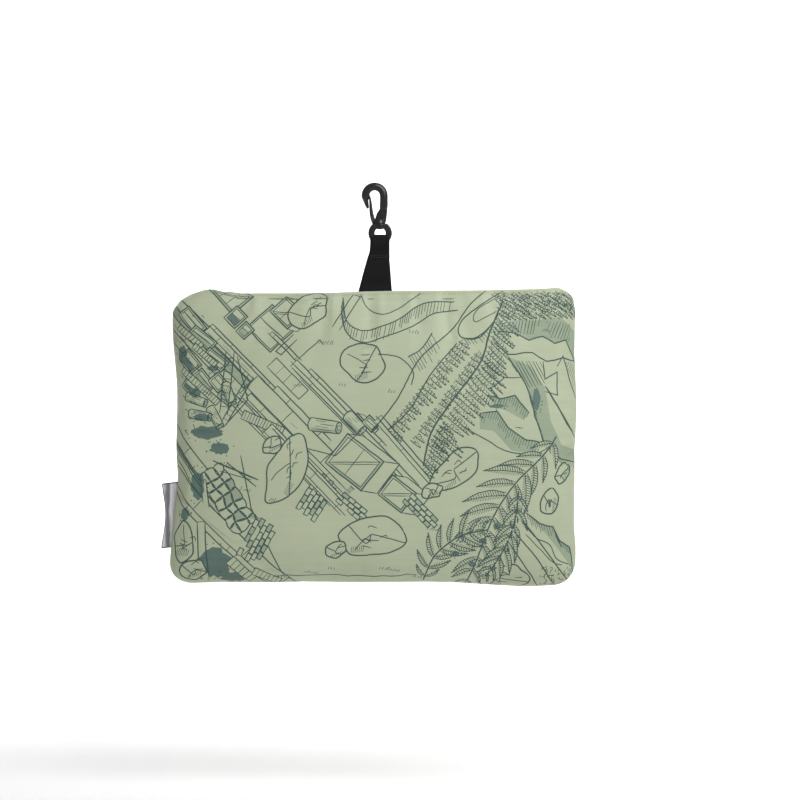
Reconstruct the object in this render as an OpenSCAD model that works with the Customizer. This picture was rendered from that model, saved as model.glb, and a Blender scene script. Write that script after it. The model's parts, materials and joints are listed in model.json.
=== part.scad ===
// Foldable tote bag stowed in its own zip pouch, with a hanging strap and a
// swivel snap hook. Millimetres, +Z up, front face towards -Y.
// The origin is the centre of the hook's bend, where the ring or bar that the
// hook is clipped to sits, and everything else hangs below it.

/* [Pouch] */
// Width of the stowed pouch, side seam to side seam
pouch_w = 231.8; // [210:0.2:250]
// Height of the stowed pouch, zip edge to bottom fold
pouch_h = 168.9; // [150:0.1:185]
// Thickness over the middle of the pouch
pouch_t = 24; // [22:0.5:28]
// Thickness beside the seams
edge_t = 15; // [14.5:0.5:17]
// Radius of the four corners, seen from the front
corner_r = 13; // [12:0.5:16]
// Thickness of the pouch's wall, fabric and lining together
wall = 0.8; // [0.6:0.1:1]

/* [Zip] */
// Half of the opening's width between the two folded fabric edges
zip_half = 4.6; // [4.4:0.1:4.8]
// Length of the zip's coils
coil_len = 198; // [150:1:200]
// Length of the slider
slider_len = 9; // [7:0.5:10]
// Length of the pull tab beyond its hinge bar
pull_len = 16; // [12:1:18]

/* [Strap] */
// Width of the strap below the swivel ring
strap_top_w = 10.4; // [8:0.2:12]
// Width of the strap at the pouch's edge
strap_base_w = 18.7; // [16:0.1:20]
// Thickness of one ply of the strap's tape
strap_ply = 0.95; // [0.6:0.05:1]

/* [Hook] */
// Inner radius of the hook's bend
bend_r = 3.4; // [3.2:0.1:3.6]
// Radius of the hook's round section
hook_r = 2.1; // [1.9:0.1:2.2]
// Radius of the swivel ring's bottom bar
bar_r = 1.5; // [1.3:0.1:1.5]
// Outer radius of the swivel ring
ring_r = 6.45; // [6.2:0.05:6.6]

/* [Label] */
// Height of the side label
label_h = 36.9; // [25:0.1:45]
// How far the side label stands out of the seam
label_w = 7.4; // [5:0.1:12]

/* [Hidden] */

sage = "#b4bba2";
sage_dark = "#8f9a7e";
black = "#1d1d1f";
silver = "#c9c9cb";
thread = "#6f7a63";

fine = 64;      // facets of a round CAD face
soft = 32;      // facets of a blended soft form
eps = 0.01;

// ---- Heights, from the hook's bend downwards ----
strap_stitch_z = -34;             // stitch line that closes the strap round the bar
fold_z = -54.6;                   // top edge of the pouch: the folded fabric edges
bottom_z = fold_z - pouch_h;      // bottom fold of the pouch
mid_z = (fold_z + bottom_z) / 2;
swing_z = -51;                    // line on which the strap bends above the pouch

// ---- The pouch lies in front of the strap, which is sewn into its back edge ----
pouch_y = -5.6;                   // middle plane of the pouch
edge_y = edge_t / 2;
crown_y = pouch_t / 2;

// The rounded edge is an ellipse; its cut at the zip's folds lies at fold_z.
ridge_drop = corner_r * (1 - sqrt(1 - pow(zip_half / edge_y, 2)));
ridge_z = fold_z + ridge_drop;    // where the edge would close if there were no zip
corner_x = pouch_w / 2 - corner_r;
corner_top = ridge_z - corner_r;
corner_bottom = bottom_z + corner_r;
crown_x = 55;                     // half-width of the flat middle, to its corner centres
crown_z = 35;
crown_r = 15;

// ---- Zip ----
tape_t = 0.6;
tape_top = fold_z - 4.6;          // upper face of the zip's tapes
tape_bottom = tape_top - tape_t;
tape_x = 101.8;                   // half-length of the tapes
slot_x = 102;                     // half-length of the opening
slit = 0.5;                       // half of the gap that the slider's post runs in
coil_y = 2.1;                     // outer side of each coil
coil_t = 1.6;
coil_pitch = 2.5;
lip_t = 0.9;
slider_x = -93.5;                 // the slider's middle, zip closed
slider_half_y = 3.6;
plate_t = 1;
slider_gap = 0.3;
plate_low = tape_top + coil_t + slider_gap;      // underside of the top plate
lug_x = 1.5;
lug_y = 1.1;
pull_axis_z = plate_low + plate_t + 1.5;         // hinge bar of the pull
pull_bar_r = 0.6;
pull_bore_r = 0.65;
pull_tilt = 5;                    // the pull rests with its tip on the zip
stop_len = 2.4;

// ---- Snap hook ----
bend_c = bend_r + hook_r - 0.2;   // centreline radius of the bend
swivel_x = 3.2;                   // upright axis of the swivel, under the shank
stem_r = 1.45;
stem_bore_r = 1.52;
collar_top = -15.7;
collar_bottom = -17.3;
head_r = 2.2;
head_t = 0.9;
gate_pivot = [-0.75, -12.35];     // x, z
gate_knuckle_r = 1.15;
gate_socket_r = 1.22;
gate_t = 2.6;
gate_swing = 24;

// ---- Swivel ring ----
ring_z = -20.9;
ring_t = 3.6;
ring_bottom = -25.7;
bar_z = ring_bottom + bar_r;
eye_r = 3.6;                      // radius of the ring's hole
eye_half = 3.1;                   // half of the bar's clear length

// ---- Strap ----
sleeve_half = 2.95;               // half-width of the tape where it rounds the bar
sleeve_bore = bar_r + 0.06;
sleeve_r = sleeve_bore + strap_ply;
strap_foot_x = 0.45;              // middle of the strap at the pouch
strap_end_z = -60;                // lower end of the tape, inside the pouch

// ---- Side label ----
label_top = -165.3;

// ---- Folded tote ----
pass_pitch = 2.55;                // from one pass of the folded body to the next
ply_off = 0.6;
ply_t = 0.95;
pass_count = 5;
stack_x = 102;
stack_top = corner_top - 1;
stack_bottom = corner_bottom + 1;
pack_y0 = 6.75;                   // handle and gusset packs, from the middle plane
pack_t = 3.6;

// ================= Helpers =================

// Draws a 2D shape given in x, z and gives it thickness t about y = 0.
module upright(t) {
    translate([0, t / 2, 0])
        rotate([90, 0, 0])
            linear_extrude(height = t) children();
}

// Draws a 2D shape given in y, z and sweeps it from x0 to x1.
module along_x(x0, x1) {
    translate([x0, 0, 0])
        rotate([90, 0, 90])
            linear_extrude(height = x1 - x0) children();
}

module box_between(a, b) {
    translate(a) cube([b[0] - a[0], b[1] - a[1], b[2] - a[2]]);
}

module bar_x(r, x0, x1, z, y = 0) {
    translate([x0, y, z]) rotate([0, 90, 0]) cylinder(r = r, h = x1 - x0, $fn = fine);
}

module bar_y(r, t, x, z) {
    translate([x, t / 2, z]) rotate([90, 0, 0]) cylinder(r = r, h = t, $fn = fine);
}

module in_pouch() {
    translate([0, pouch_y, 0]) children();
}

// ================= Snap hook =================

// Section of the bend: round, with a narrow flat on its inner side.
module bend_section() {
    intersection() {
        translate([bend_c, 0]) circle(r = hook_r, $fn = fine);
        translate([bend_r, -5]) square([10, 10]);
    }
}

module hook_base_outline() {
    polygon([
        [7.4, -7], [7.2, -11], [6.95, -14.6], [-0.4, -14.6],
        [-1.7, -14.3], [-2.75, -12.8], [-3.0, -11.6], [-2.2, -10.9],
        [0.5, -10.9], [3.4, -7],
    ]);
}

// Room for the gate's leaf over its whole swing.
module gate_room_outline() {
    for (a = [-2, gate_swing / 2, gate_swing + 2])
        translate(gate_pivot)
            rotate(-a)
                polygon([
                    [-1.05, 0], [1.05, 0], [0.6, 6], [-1.7, 10.9],
                    [-2.85, 10.9], [-2.65, 6.75], [-3.2, 5], [-2.2, 1.4],
                ]);
}

module snap_hook() {
    color(black) {
        difference() {
            union() {
                rotate([90, 0, 0])
                    rotate_extrude(angle = 180, $fn = fine) bend_section();
                translate([bend_c, 0, -14]) cylinder(r = hook_r, h = 14, $fn = fine);
                // The nose leans in towards the gate and ends in a point.
                translate([-bend_c, 0, 0])
                    rotate([0, 180 - 11, 0])
                        cylinder(r1 = hook_r, r2 = 0.55, h = 6.6, $fn = fine);
                translate([-bend_c, 0, 0]) sphere(r = hook_r, $fn = fine);
                upright(4) hook_base_outline();
                translate([swivel_x, 0, collar_top + 0.2])
                    cylinder(r1 = 3.75, r2 = 3.0, h = 2.2, $fn = fine);
            }
            // The bend's throat, kept round for what is clipped in it.
            bar_y(bend_r, 12, 0, 0);
            box_between([-bend_r, -6, -4], [bend_r, 6, 0]);
            bar_y(gate_socket_r, 12, gate_pivot[0], gate_pivot[1]);
            upright(12) gate_room_outline();
            // Shallow flutes down both faces of the shank.
            for (s = [-1, 1])
                translate([bend_c, s * (hook_r + 0.15), -5])
                    cube([0.9, 1.2, 9], center = true);
        }
        translate([swivel_x, 0, collar_bottom - head_t])
            cylinder(r = stem_r, h = collar_top - collar_bottom + head_t + 0.6, $fn = fine);
        translate([swivel_x, 0, collar_bottom - head_t - 0.1])
            cylinder(r1 = head_r - 0.5, r2 = head_r, h = head_t, $fn = fine);
    }
}

module hook_gate() {
    color(black) {
        upright(gate_t)
            polygon([
                gate_pivot + [-0.9, 0.3], gate_pivot + [0.8, 0.3],
                [-1.0, -8.6], [-1.6, -5.6], [-2.95, -1.9],
                [-3.5, -1.9], [-3.15, -5.6], [-2.75, -9.2],
            ]);
        bar_y(gate_knuckle_r, gate_t, gate_pivot[0], gate_pivot[1]);
    }
}

// ================= Swivel ring =================

module swivel_ring() {
    color(black)
        difference() {
            union() {
                difference() {
                    translate([swivel_x, 0, 0])
                        upright(ring_t)
                            intersection() {
                                translate([0, ring_z]) circle(r = ring_r, $fn = fine);
                                translate([-10, ring_bottom])
                                    square([20, collar_top - ring_bottom]);
                            }
                    // The ring's hole, and the corners beside the round bar.
                    translate([swivel_x, 0, 0])
                        upright(12)
                            intersection() {
                                translate([0, ring_z]) circle(r = eye_r, $fn = fine);
                                translate([-10, bar_z])
                                    square([20, collar_bottom - bar_z]);
                            }
                    translate([swivel_x - eye_half, -6, ring_bottom - 1])
                        cube([2 * eye_half, 12, bar_z - ring_bottom + 2.3]);
                }
                bar_x(bar_r, swivel_x - eye_half - 0.6, swivel_x + eye_half + 0.6, bar_z);
                translate([swivel_x, 0, collar_bottom])
                    cylinder(r = 3.0, h = collar_top - collar_bottom, $fn = fine);
            }
            translate([swivel_x, 0, collar_bottom - 1])
                cylinder(r = stem_bore_r, h = 4, $fn = fine);
            translate([swivel_x, 0, collar_bottom - 2])
                cylinder(r = head_r + 0.15, h = 2, $fn = fine);
        }
}

// ================= Strap =================

function strap_edges(z) =
    z > strap_stitch_z
        ? [swivel_x - strap_top_w / 2, swivel_x + strap_top_w / 2]
        : let (s = (strap_stitch_z - z) / (strap_stitch_z - fold_z))
          [
              (swivel_x - strap_top_w / 2 - 0.6) * (1 - s)
                  + (strap_foot_x - strap_base_w / 2) * s,
              (swivel_x + strap_top_w / 2 - 0.3) * (1 - s)
                  + (strap_foot_x + strap_base_w / 2) * s,
          ];

// Where the tape leaves the ring it spreads from the bar's width to its own.
module hook_strap() {
    neck = bar_z - sleeve_r;
    spread = neck - 0.9;
    foot = swing_z + strap_ply + 0.15;
    color(black)
        difference() {
            union() {
                bar_x(sleeve_r, swivel_x - sleeve_half, swivel_x + sleeve_half, bar_z);
                upright(2 * strap_ply)
                    polygon([
                        [swivel_x - sleeve_half, bar_z - 1],
                        [swivel_x + sleeve_half, bar_z - 1],
                        [swivel_x + sleeve_half, neck],
                        [strap_edges(spread)[1], spread],
                        [strap_edges(strap_stitch_z)[1], strap_stitch_z],
                        [strap_edges(foot)[1], foot],
                        [strap_edges(foot)[0], foot],
                        [strap_edges(strap_stitch_z)[0], strap_stitch_z],
                        [strap_edges(spread)[0], spread],
                        [swivel_x - sleeve_half, neck],
                    ]);
            }
            bar_x(sleeve_bore, swivel_x - 5, swivel_x + 5, bar_z);
        }
}

// Two rows of thread that lie on the strap's faces and hold its loop closed.
module strap_stitching() {
    r = 0.22;
    color(thread)
        for (s = [-1, 1], row = [0, 1.4])
            bar_x(
                r,
                strap_edges(strap_stitch_z)[0] + 1, strap_edges(strap_stitch_z)[1] - 1,
                strap_stitch_z - row, s * (strap_ply + r + 0.01)
            );
}

module strap_end_outline() {
    polygon([
        [strap_edges(swing_z)[0], swing_z], [strap_edges(swing_z)[1], swing_z],
        [strap_edges(fold_z)[1], fold_z], [strap_edges(fold_z)[1], strap_end_z],
        [strap_edges(fold_z)[0], strap_end_z], [strap_edges(fold_z)[0], fold_z],
    ]);
}

// Its top is rounded about the line on which the strap bends.
module strap_end() {
    color(black) {
        upright(2 * strap_ply) strap_end_outline();
        bar_x(strap_ply, strap_edges(swing_z)[0], strap_edges(swing_z)[1], swing_z);
    }
}

// ================= Pouch =================

// The stuffed pouch as one rounded form, drawn in by inset on every side.
module pouch_form(inset) {
    hull() {
        for (x = [-corner_x, corner_x], z = [corner_bottom, corner_top])
            translate([x, 0, z])
                scale([corner_r - inset, edge_y - inset, corner_r - inset])
                    rotate([90, 0, 0]) sphere(r = 1, $fn = soft);
        for (x = [-crown_x, crown_x], z = [mid_z - crown_z, mid_z + crown_z])
            translate([x, 0, z])
                rotate([90, 0, 0])
                    cylinder(r = crown_r, h = 2 * (crown_y - inset), center = true, $fn = soft);
    }
}

// The pouch's hollow wall. Beyond the zip's two ends the fabric is gathered
// and fills the top edge; between them the edge is open for the zip.
module pouch_wall() {
    difference() {
        pouch_form(0);
        difference() {
            pouch_form(wall);
            for (x = [-slot_x - 9, slot_x])
                box_between([x, -20, tape_bottom - 0.5], [x + 9, 20, 0]);
        }
        box_between([-slot_x, -zip_half, tape_bottom - 3], [slot_x, zip_half, 0]);
        box_between([-150, -20, fold_z], [150, 20, 0]);
    }
}

// One panel: the half of the wall on side s of the middle plane, with its top
// edge turned down beside the zip's tape.
module pouch_panel(s) {
    lip0 = s < 0 ? -zip_half - lip_t : zip_half;
    difference() {
        union() {
            pouch_wall();
            box_between([-slot_x, lip0, tape_bottom], [slot_x, lip0 + lip_t, fold_z - 0.6]);
        }
        box_between([-150, s < 0 ? 0 : -20, -300], [150, s < 0 ? 20 : 0, 0]);
        end_tab_room();
    }
}

module pouch_front_panel() {
    color(sage) in_pouch() pouch_panel(-1);
}

module pouch_back_panel() {
    color(sage)
        difference() {
            in_pouch() pouch_panel(1);
            // The strap comes out through the back seam.
            box_between(
                [strap_foot_x - strap_base_w / 2 - 0.1, -strap_ply - 0.1, strap_end_z - 0.5],
                [strap_foot_x + strap_base_w / 2 + 0.1, strap_ply + 0.1, 0]
            );
        }
}

// Seam allowances, turned to the inside and bound with tape.
module seam_strip(x) {
    color(sage_dark)
        in_pouch()
            box_between([x, -0.45, corner_bottom], [x + 4, 0.45, corner_top]);
}

module side_seam_left() {
    seam_strip(-pouch_w / 2 + wall + 0.15);
}

module side_seam_right() {
    seam_strip(pouch_w / 2 - wall - 4.15);
}

module bottom_seam() {
    z0 = bottom_z + wall + 0.15;
    color(sage_dark)
        in_pouch()
            box_between([-corner_x, -0.45, z0], [corner_x, 0.45, z0 + 4]);
}

// ================= Zip =================

module zipper_tape(s) {
    color(sage_dark)
        in_pouch()
            box_between(
                [-tape_x, s < 0 ? -zip_half : slit, tape_bottom],
                [tape_x, s < 0 ? -slit : zip_half, tape_top]
            );
}

// A coil as a rail with one raised rib for each turn.
module zipper_coil(s) {
    turns = floor(coil_len / coil_pitch);
    x0 = -turns * coil_pitch / 2;
    color(sage_dark)
        in_pouch()
            along_y_band(s)
                polygon(concat(
                    [[x0, tape_top]],
                    [
                        for (i = [0 : turns - 1], p = [[0, 1], [1.5, 1], [1.5, 0.7], [2.5, 0.7]])
                            [x0 + i * coil_pitch + p[0], tape_top + p[1] * coil_t]
                    ],
                    [[-x0, tape_top]]
                ));
}

module along_y_band(s) {
    translate([0, s < 0 ? -slit : coil_y, 0])
        rotate([90, 0, 0])
            linear_extrude(height = coil_y - slit) children();
}

// A stop pressed over both coils: two jaws on the tapes and a cap above.
module zipper_stop(x) {
    color(sage_dark)
        in_pouch()
            difference() {
                box_between([x, -2.9, tape_top], [x + stop_len, 2.9, tape_top + coil_t + 0.5]);
                box_between([x + 0.6, -slit, tape_top - 1], [x + stop_len - 0.6, slit, tape_top + 0.8]);
            }
}

// A scrap of the pouch's fabric folded over the zip's end.
module zipper_end_tab(x0, x1) {
    color(sage)
        in_pouch()
            box_between([x0, -zip_half + 0.2, fold_z - 0.9], [x1, zip_half - 0.2, fold_z + 0.5]);
}

module end_tab_room() {
    for (s = [-1, 1])
        box_between(
            [s * 105.6 - 4.1, -zip_half, fold_z - 1.0],
            [s * 105.6 + 4.1, zip_half, fold_z + 1]
        );
}

module zipper_slider() {
    half = slider_len / 2;
    flange = 1.2;
    low = tape_bottom - slider_gap;
    color(sage)
        translate([slider_x, pouch_y, 0]) {
            difference() {
                union() {
                    box_between([-half, -slider_half_y, plate_low],
                                [half, slider_half_y, plate_low + plate_t]);
                    for (s = [0, 1])
                        mirror([0, s, 0])
                            box_between([-half, slider_half_y - flange, tape_top + slider_gap],
                                        [half, slider_half_y, plate_low]);
                    // The post runs between the coils and carries the lower plate.
                    box_between([-half, -slit + 0.12, low - plate_t / 2],
                                [half, slit - 0.12, plate_low]);
                    box_between([-half, -slider_half_y, low - plate_t],
                                [half, slider_half_y, low]);
                    box_between([-lug_x, -lug_y, plate_low],
                                [lug_x, lug_y, pull_axis_z + 1.3]);
                }
                bar_y(pull_bore_r, 8, 0, pull_axis_z);
            }
        }
}

module zipper_pull() {
    arm = 0.7;
    arm_y = lug_y + 0.3;
    eye = 4;
    color(sage_dark)
        translate([slider_x, pouch_y, pull_axis_z])
            rotate([0, pull_tilt, 0]) {
                bar_y(pull_bar_r, 2 * (arm_y + arm), 0, 0);
                for (s = [0, 1])
                    mirror([0, s, 0])
                        box_between([0, arm_y, -pull_bar_r], [eye + 0.5, arm_y + arm, pull_bar_r]);
                difference() {
                    union() {
                        box_between([eye, -2.6, -pull_bar_r],
                                    [pull_len - 2.6, 2.6, pull_bar_r]);
                        translate([pull_len - 2.6, 0, -pull_bar_r])
                            cylinder(r = 2.6, h = 2 * pull_bar_r, $fn = fine);
                    }
                    // A grip window near the end of the tab.
                    box_between([pull_len - 9, -1.1, -2], [pull_len - 3.5, 1.1, 2]);
                }
            }
}

// ================= Sewing =================

// A row of thread along the fold, just clear of the rounded edge.
module topstitch(s) {
    r = 0.22;
    depth = 3.2;
    reach = edge_y * sqrt(1 - pow((corner_r - depth - ridge_drop) / corner_r, 2));
    color(thread)
        in_pouch()
            for (part = s < 0 ? [[-98, 98]] : [[-98, -10.5], [11, 98]])
                bar_x(r, part[0], part[1], fold_z - depth, s * (reach + r + 0.12));
}

// ================= Side label =================

// A woven label folded in two, its open end sewn into the left side seam.
// It starts a little outside the seam, so that it can flop to both sides.
module side_label() {
    ply = 0.35;
    gap = 0.25;
    fold_r = gap / 2 + ply;
    x1 = -pouch_w / 2 - 0.8;
    x0 = -pouch_w / 2 - label_w + fold_r;
    z0 = label_top - label_h;
    color(silver)
        in_pouch()
            translate([0, 0, z0])
                linear_extrude(height = label_h)
                    difference() {
                        union() {
                            translate([x0, -fold_r]) square([x1 - x0, 2 * fold_r]);
                            translate([x0, 0]) circle(r = fold_r, $fn = fine);
                        }
                        translate([x0, -gap / 2]) square([x1 - x0 + 1, gap]);
                        translate([x0, 0]) circle(r = gap / 2, $fn = fine);
                    }
}

// ================= Folded tote =================

// One ply of a zigzag stack. side is -1 or 1: which of the two plies it is.
// Passes run between z0 and z1, and the plies change places at each turn.
module zigzag(count, pitch, off, t, side, z0, z1) {
    function pass_y(i) = (i - (count - 1) / 2) * pitch + side * off * (i % 2 == 0 ? 1 : -1);
    for (i = [0 : count - 1])
        translate([pass_y(i) - t / 2, z0 - eps]) square([t, z1 - z0 + 2 * eps]);
    for (i = [0 : count - 2]) {
        turn_z = i % 2 == 0 ? z1 : z0;
        mid_y = (pass_y(i) + pass_y(i + 1)) / 2;
        r = (pass_y(i + 1) - pass_y(i)) / 2;
        difference() {
            translate([mid_y, turn_z]) circle(r = r + t / 2, $fn = fine);
            if (r > t / 2) translate([mid_y, turn_z]) circle(r = r - t / 2, $fn = fine);
            translate([mid_y - 5, i % 2 == 0 ? turn_z - 5 : turn_z]) square([10, 5]);
        }
    }
}

module tote_body_ply(side) {
    turn = pass_pitch / 2 + ply_off + ply_t / 2;
    color(sage)
        in_pouch()
            along_x(-stack_x, stack_x)
                zigzag(pass_count, pass_pitch, ply_off, ply_t, side,
                       stack_bottom + turn, stack_top - turn);
}

// A pack of three folded passes on side s of the stack.
module folded_pack(s, x0, x1, half_z, count) {
    pitch = pack_t / count;
    color(sage)
        in_pouch()
            translate([0, s * (pack_y0 + pack_t / 2), mid_z])
                along_x(x0, x1)
                    zigzag(count, pitch, 0, pitch - 0.15, 1,
                           -half_z + pitch, half_z - pitch);
}

module tote_front_panel() { tote_body_ply(-1); }
module tote_back_panel() { tote_body_ply(1); }
module tote_gusset() { folded_pack(1, -56, 56, 44, 2); }
module tote_handle_left() { folded_pack(-1, -58, -4, 44, 3); }
module tote_handle_right() { folded_pack(-1, 4, 58, 44, 3); }

// ================= Nodes =================

snap_hook();
hook_gate();
swivel_ring();
hook_strap();
strap_stitching();
strap_end();
pouch_front_panel();
pouch_back_panel();
side_seam_left();
side_seam_right();
bottom_seam();
zipper_tape(-1);  // zipper_tape_front
zipper_tape(1);  // zipper_tape_back
zipper_coil(-1);  // zipper_coil_front
zipper_coil(1);  // zipper_coil_back
zipper_stop(-coil_len / 2 - stop_len - 0.1);  // zipper_top_stop
zipper_stop(coil_len / 2 + 0.1);  // zipper_bottom_stop
zipper_end_tab(-109.5, -101.9);  // zipper_end_tab_left
zipper_end_tab(101.9, 109.5);  // zipper_end_tab_right
zipper_slider();
zipper_pull();
topstitch(-1);  // topstitch_front
topstitch(1);  // topstitch_back
side_label();
tote_front_panel();
tote_back_panel();
tote_gusset();
tote_handle_left();
tote_handle_right();
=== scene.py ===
"""A foldable tote bag, stowed in its own zip pouch and hung from a swivel snap hook.

The pouch's panels are simulated cloth with a line print cut into their mesh. The strap, zip, label
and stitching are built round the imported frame, and the inner tote's folds are its own CAD nodes.
Everything is in metres, in the frame's axes: +Z up, front face towards -Y.
"""

import cmath
import json
import math
import random

import bmesh
import bpy
import numpy as np
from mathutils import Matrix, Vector
from mathutils.geometry import delaunay_2d_cdt, tessellate_polygon


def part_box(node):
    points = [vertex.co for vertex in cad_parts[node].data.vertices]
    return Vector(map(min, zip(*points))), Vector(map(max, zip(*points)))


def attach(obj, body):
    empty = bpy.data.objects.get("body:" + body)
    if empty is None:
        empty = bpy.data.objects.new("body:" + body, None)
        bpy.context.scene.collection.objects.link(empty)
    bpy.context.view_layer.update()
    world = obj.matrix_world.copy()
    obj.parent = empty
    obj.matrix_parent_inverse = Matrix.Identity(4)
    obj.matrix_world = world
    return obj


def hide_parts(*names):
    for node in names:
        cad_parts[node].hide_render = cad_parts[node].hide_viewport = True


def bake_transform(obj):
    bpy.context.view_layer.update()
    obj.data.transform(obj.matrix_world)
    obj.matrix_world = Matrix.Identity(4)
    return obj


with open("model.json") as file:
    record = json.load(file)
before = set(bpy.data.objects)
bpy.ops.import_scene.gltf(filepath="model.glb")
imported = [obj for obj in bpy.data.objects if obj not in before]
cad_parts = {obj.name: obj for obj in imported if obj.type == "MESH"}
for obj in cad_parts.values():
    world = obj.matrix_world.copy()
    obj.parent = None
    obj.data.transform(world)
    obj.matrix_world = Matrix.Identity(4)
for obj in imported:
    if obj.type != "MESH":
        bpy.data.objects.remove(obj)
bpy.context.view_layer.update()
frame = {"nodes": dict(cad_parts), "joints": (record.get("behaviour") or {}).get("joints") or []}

MM = 0.001

# ---- Places and sizes, from the frame ----

front_lo, front_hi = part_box("pouch_front_panel")
coil_lo, coil_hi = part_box("zipper_coil_front")
label_lo, label_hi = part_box("side_label")

MID_Y = front_hi[1]                       # the pouch's middle plane, where the panels meet
MID_Z = (front_lo[2] + front_hi[2]) / 2
HALF_W = (front_hi[0] - front_lo[0]) / 2
HALF_H = (front_hi[2] - front_lo[2]) / 2
CROWN = MID_Y - front_lo[1]               # half of the pouch's thickness in the middle
EDGE = 7.5 * MM                           # half of its thickness beside the seams
CORNER = 13 * MM                          # the radius of its corners, seen from the front
ZIP_HALF = 4.6 * MM                       # half of the gap between the folded edges
ZIP_END = 98 * MM                         # where that gap starts to close, from the middle

JOINTS = {joint["name"]: joint for joint in frame["joints"]}


# ================= Meshes =================

def new_object(name, data):
    obj = bpy.data.objects.new(name, data)
    bpy.context.scene.collection.objects.link(obj)
    return obj


def mesh_object(name, verts, faces, materials=()):
    mesh = bpy.data.meshes.new(name)
    mesh.from_pydata([tuple(v) for v in verts], [], [tuple(f) for f in faces])
    for material in materials:
        mesh.materials.append(material)
    mesh.polygons.foreach_set("use_smooth", [True] * len(mesh.polygons))
    mesh.validate()
    mesh.update()
    return new_object(name, mesh)


def grid_faces(rows, columns, wrap=False):
    """Quads between neighbouring rows of points; wrap closes each row into a ring."""
    faces = []
    for r in range(rows - 1):
        for c in range(columns if wrap else columns - 1):
            n = (c + 1) % columns
            faces.append((r * columns + c, r * columns + n, (r + 1) * columns + n, (r + 1) * columns + c))
    return faces


def closed_faces(rows, columns):
    """The faces of a solid whose rows are rings, with a face over each end."""
    ring = range(columns)
    last = range((rows - 1) * columns, rows * columns)
    return [*grid_faces(rows, columns, wrap=True), tuple(reversed(ring)), tuple(last)]


def tube(path, radius, sides=8):
    """Vertices and faces of a closed-ended tube along path."""
    path = [Vector(p) for p in path]
    verts = []
    across = None
    for i, p in enumerate(path):
        ahead = path[min(i + 1, len(path) - 1)] - path[max(i - 1, 0)]
        ahead.normalize()
        if across is None:
            across = ahead.orthogonal()
        across = (across - ahead * across.dot(ahead)).normalized()
        other = ahead.cross(across)
        for k in range(sides):
            a = 2 * math.pi * k / sides
            verts.append(p + radius * (math.cos(a) * across + math.sin(a) * other))
    return verts, closed_faces(len(path), sides)


def joined(parts):
    """Several (vertices, faces) pairs as one."""
    verts, faces = [], []
    for v, f in parts:
        base = len(verts)
        verts.extend(v)
        faces.extend(tuple(base + i for i in face) for face in f)
    return verts, faces


def spline(p0, p1, p2, p3, t):
    """A Catmull-Rom spline from p1 to p2."""
    return 0.5 * (2 * p1 + (p2 - p0) * t + (2 * p0 - 5 * p1 + 4 * p2 - p3) * t * t
                  + (3 * p1 - p0 - 3 * p2 + p3) * t ** 3)


def smooth_rows(rows, steps=4):
    """Rows of numbers with more rows put between them along a spline."""
    pts = np.array([rows[0], *rows, rows[-1]], float)
    out = []
    for k in range(1, len(pts) - 2):
        for s in range(steps):
            out.append(tuple(spline(*pts[k - 1:k + 3], s / steps)))
    out.append(tuple(pts[-1]))
    return out


def moulded(name, node, voxel, rounds, material, swell=0.0):
    """A copy of a CAD node as one smooth skin, with the soft edges of a moulding. swell thickens it."""
    source = frame["nodes"][node]
    mesh = source.data.copy()
    mesh.materials.clear()
    obj = new_object(name, mesh)
    obj.matrix_world = source.matrix_world
    bm = bmesh.new()
    bm.from_mesh(mesh)
    bmesh.ops.remove_doubles(bm, verts=bm.verts, dist=1e-6)
    bm.to_mesh(mesh)
    bm.free()
    remesh = obj.modifiers.new("skin", "REMESH")
    remesh.mode = "VOXEL"
    remesh.voxel_size = voxel
    remesh.use_smooth_shade = True
    soften = obj.modifiers.new("soften", "SMOOTH")
    soften.factor = 0.5
    soften.iterations = rounds
    if swell:
        thicken = obj.modifiers.new("swell", "DISPLACE")
        thicken.strength = swell
        thicken.mid_level = 0
        more = obj.modifiers.new("smooth", "SMOOTH")
        more.iterations = 4
    obj.data = applied(obj)
    obj.modifiers.clear()
    obj.data.materials.append(material)
    return obj


def applied(obj):
    bpy.context.view_layer.update()
    evaluated = obj.evaluated_get(bpy.context.evaluated_depsgraph_get())
    return bpy.data.meshes.new_from_object(evaluated)


def enter(piece, body, node):
    """Enters a finished piece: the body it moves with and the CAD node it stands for."""
    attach(piece, body)
    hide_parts(node)


# ================= Materials =================

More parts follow.
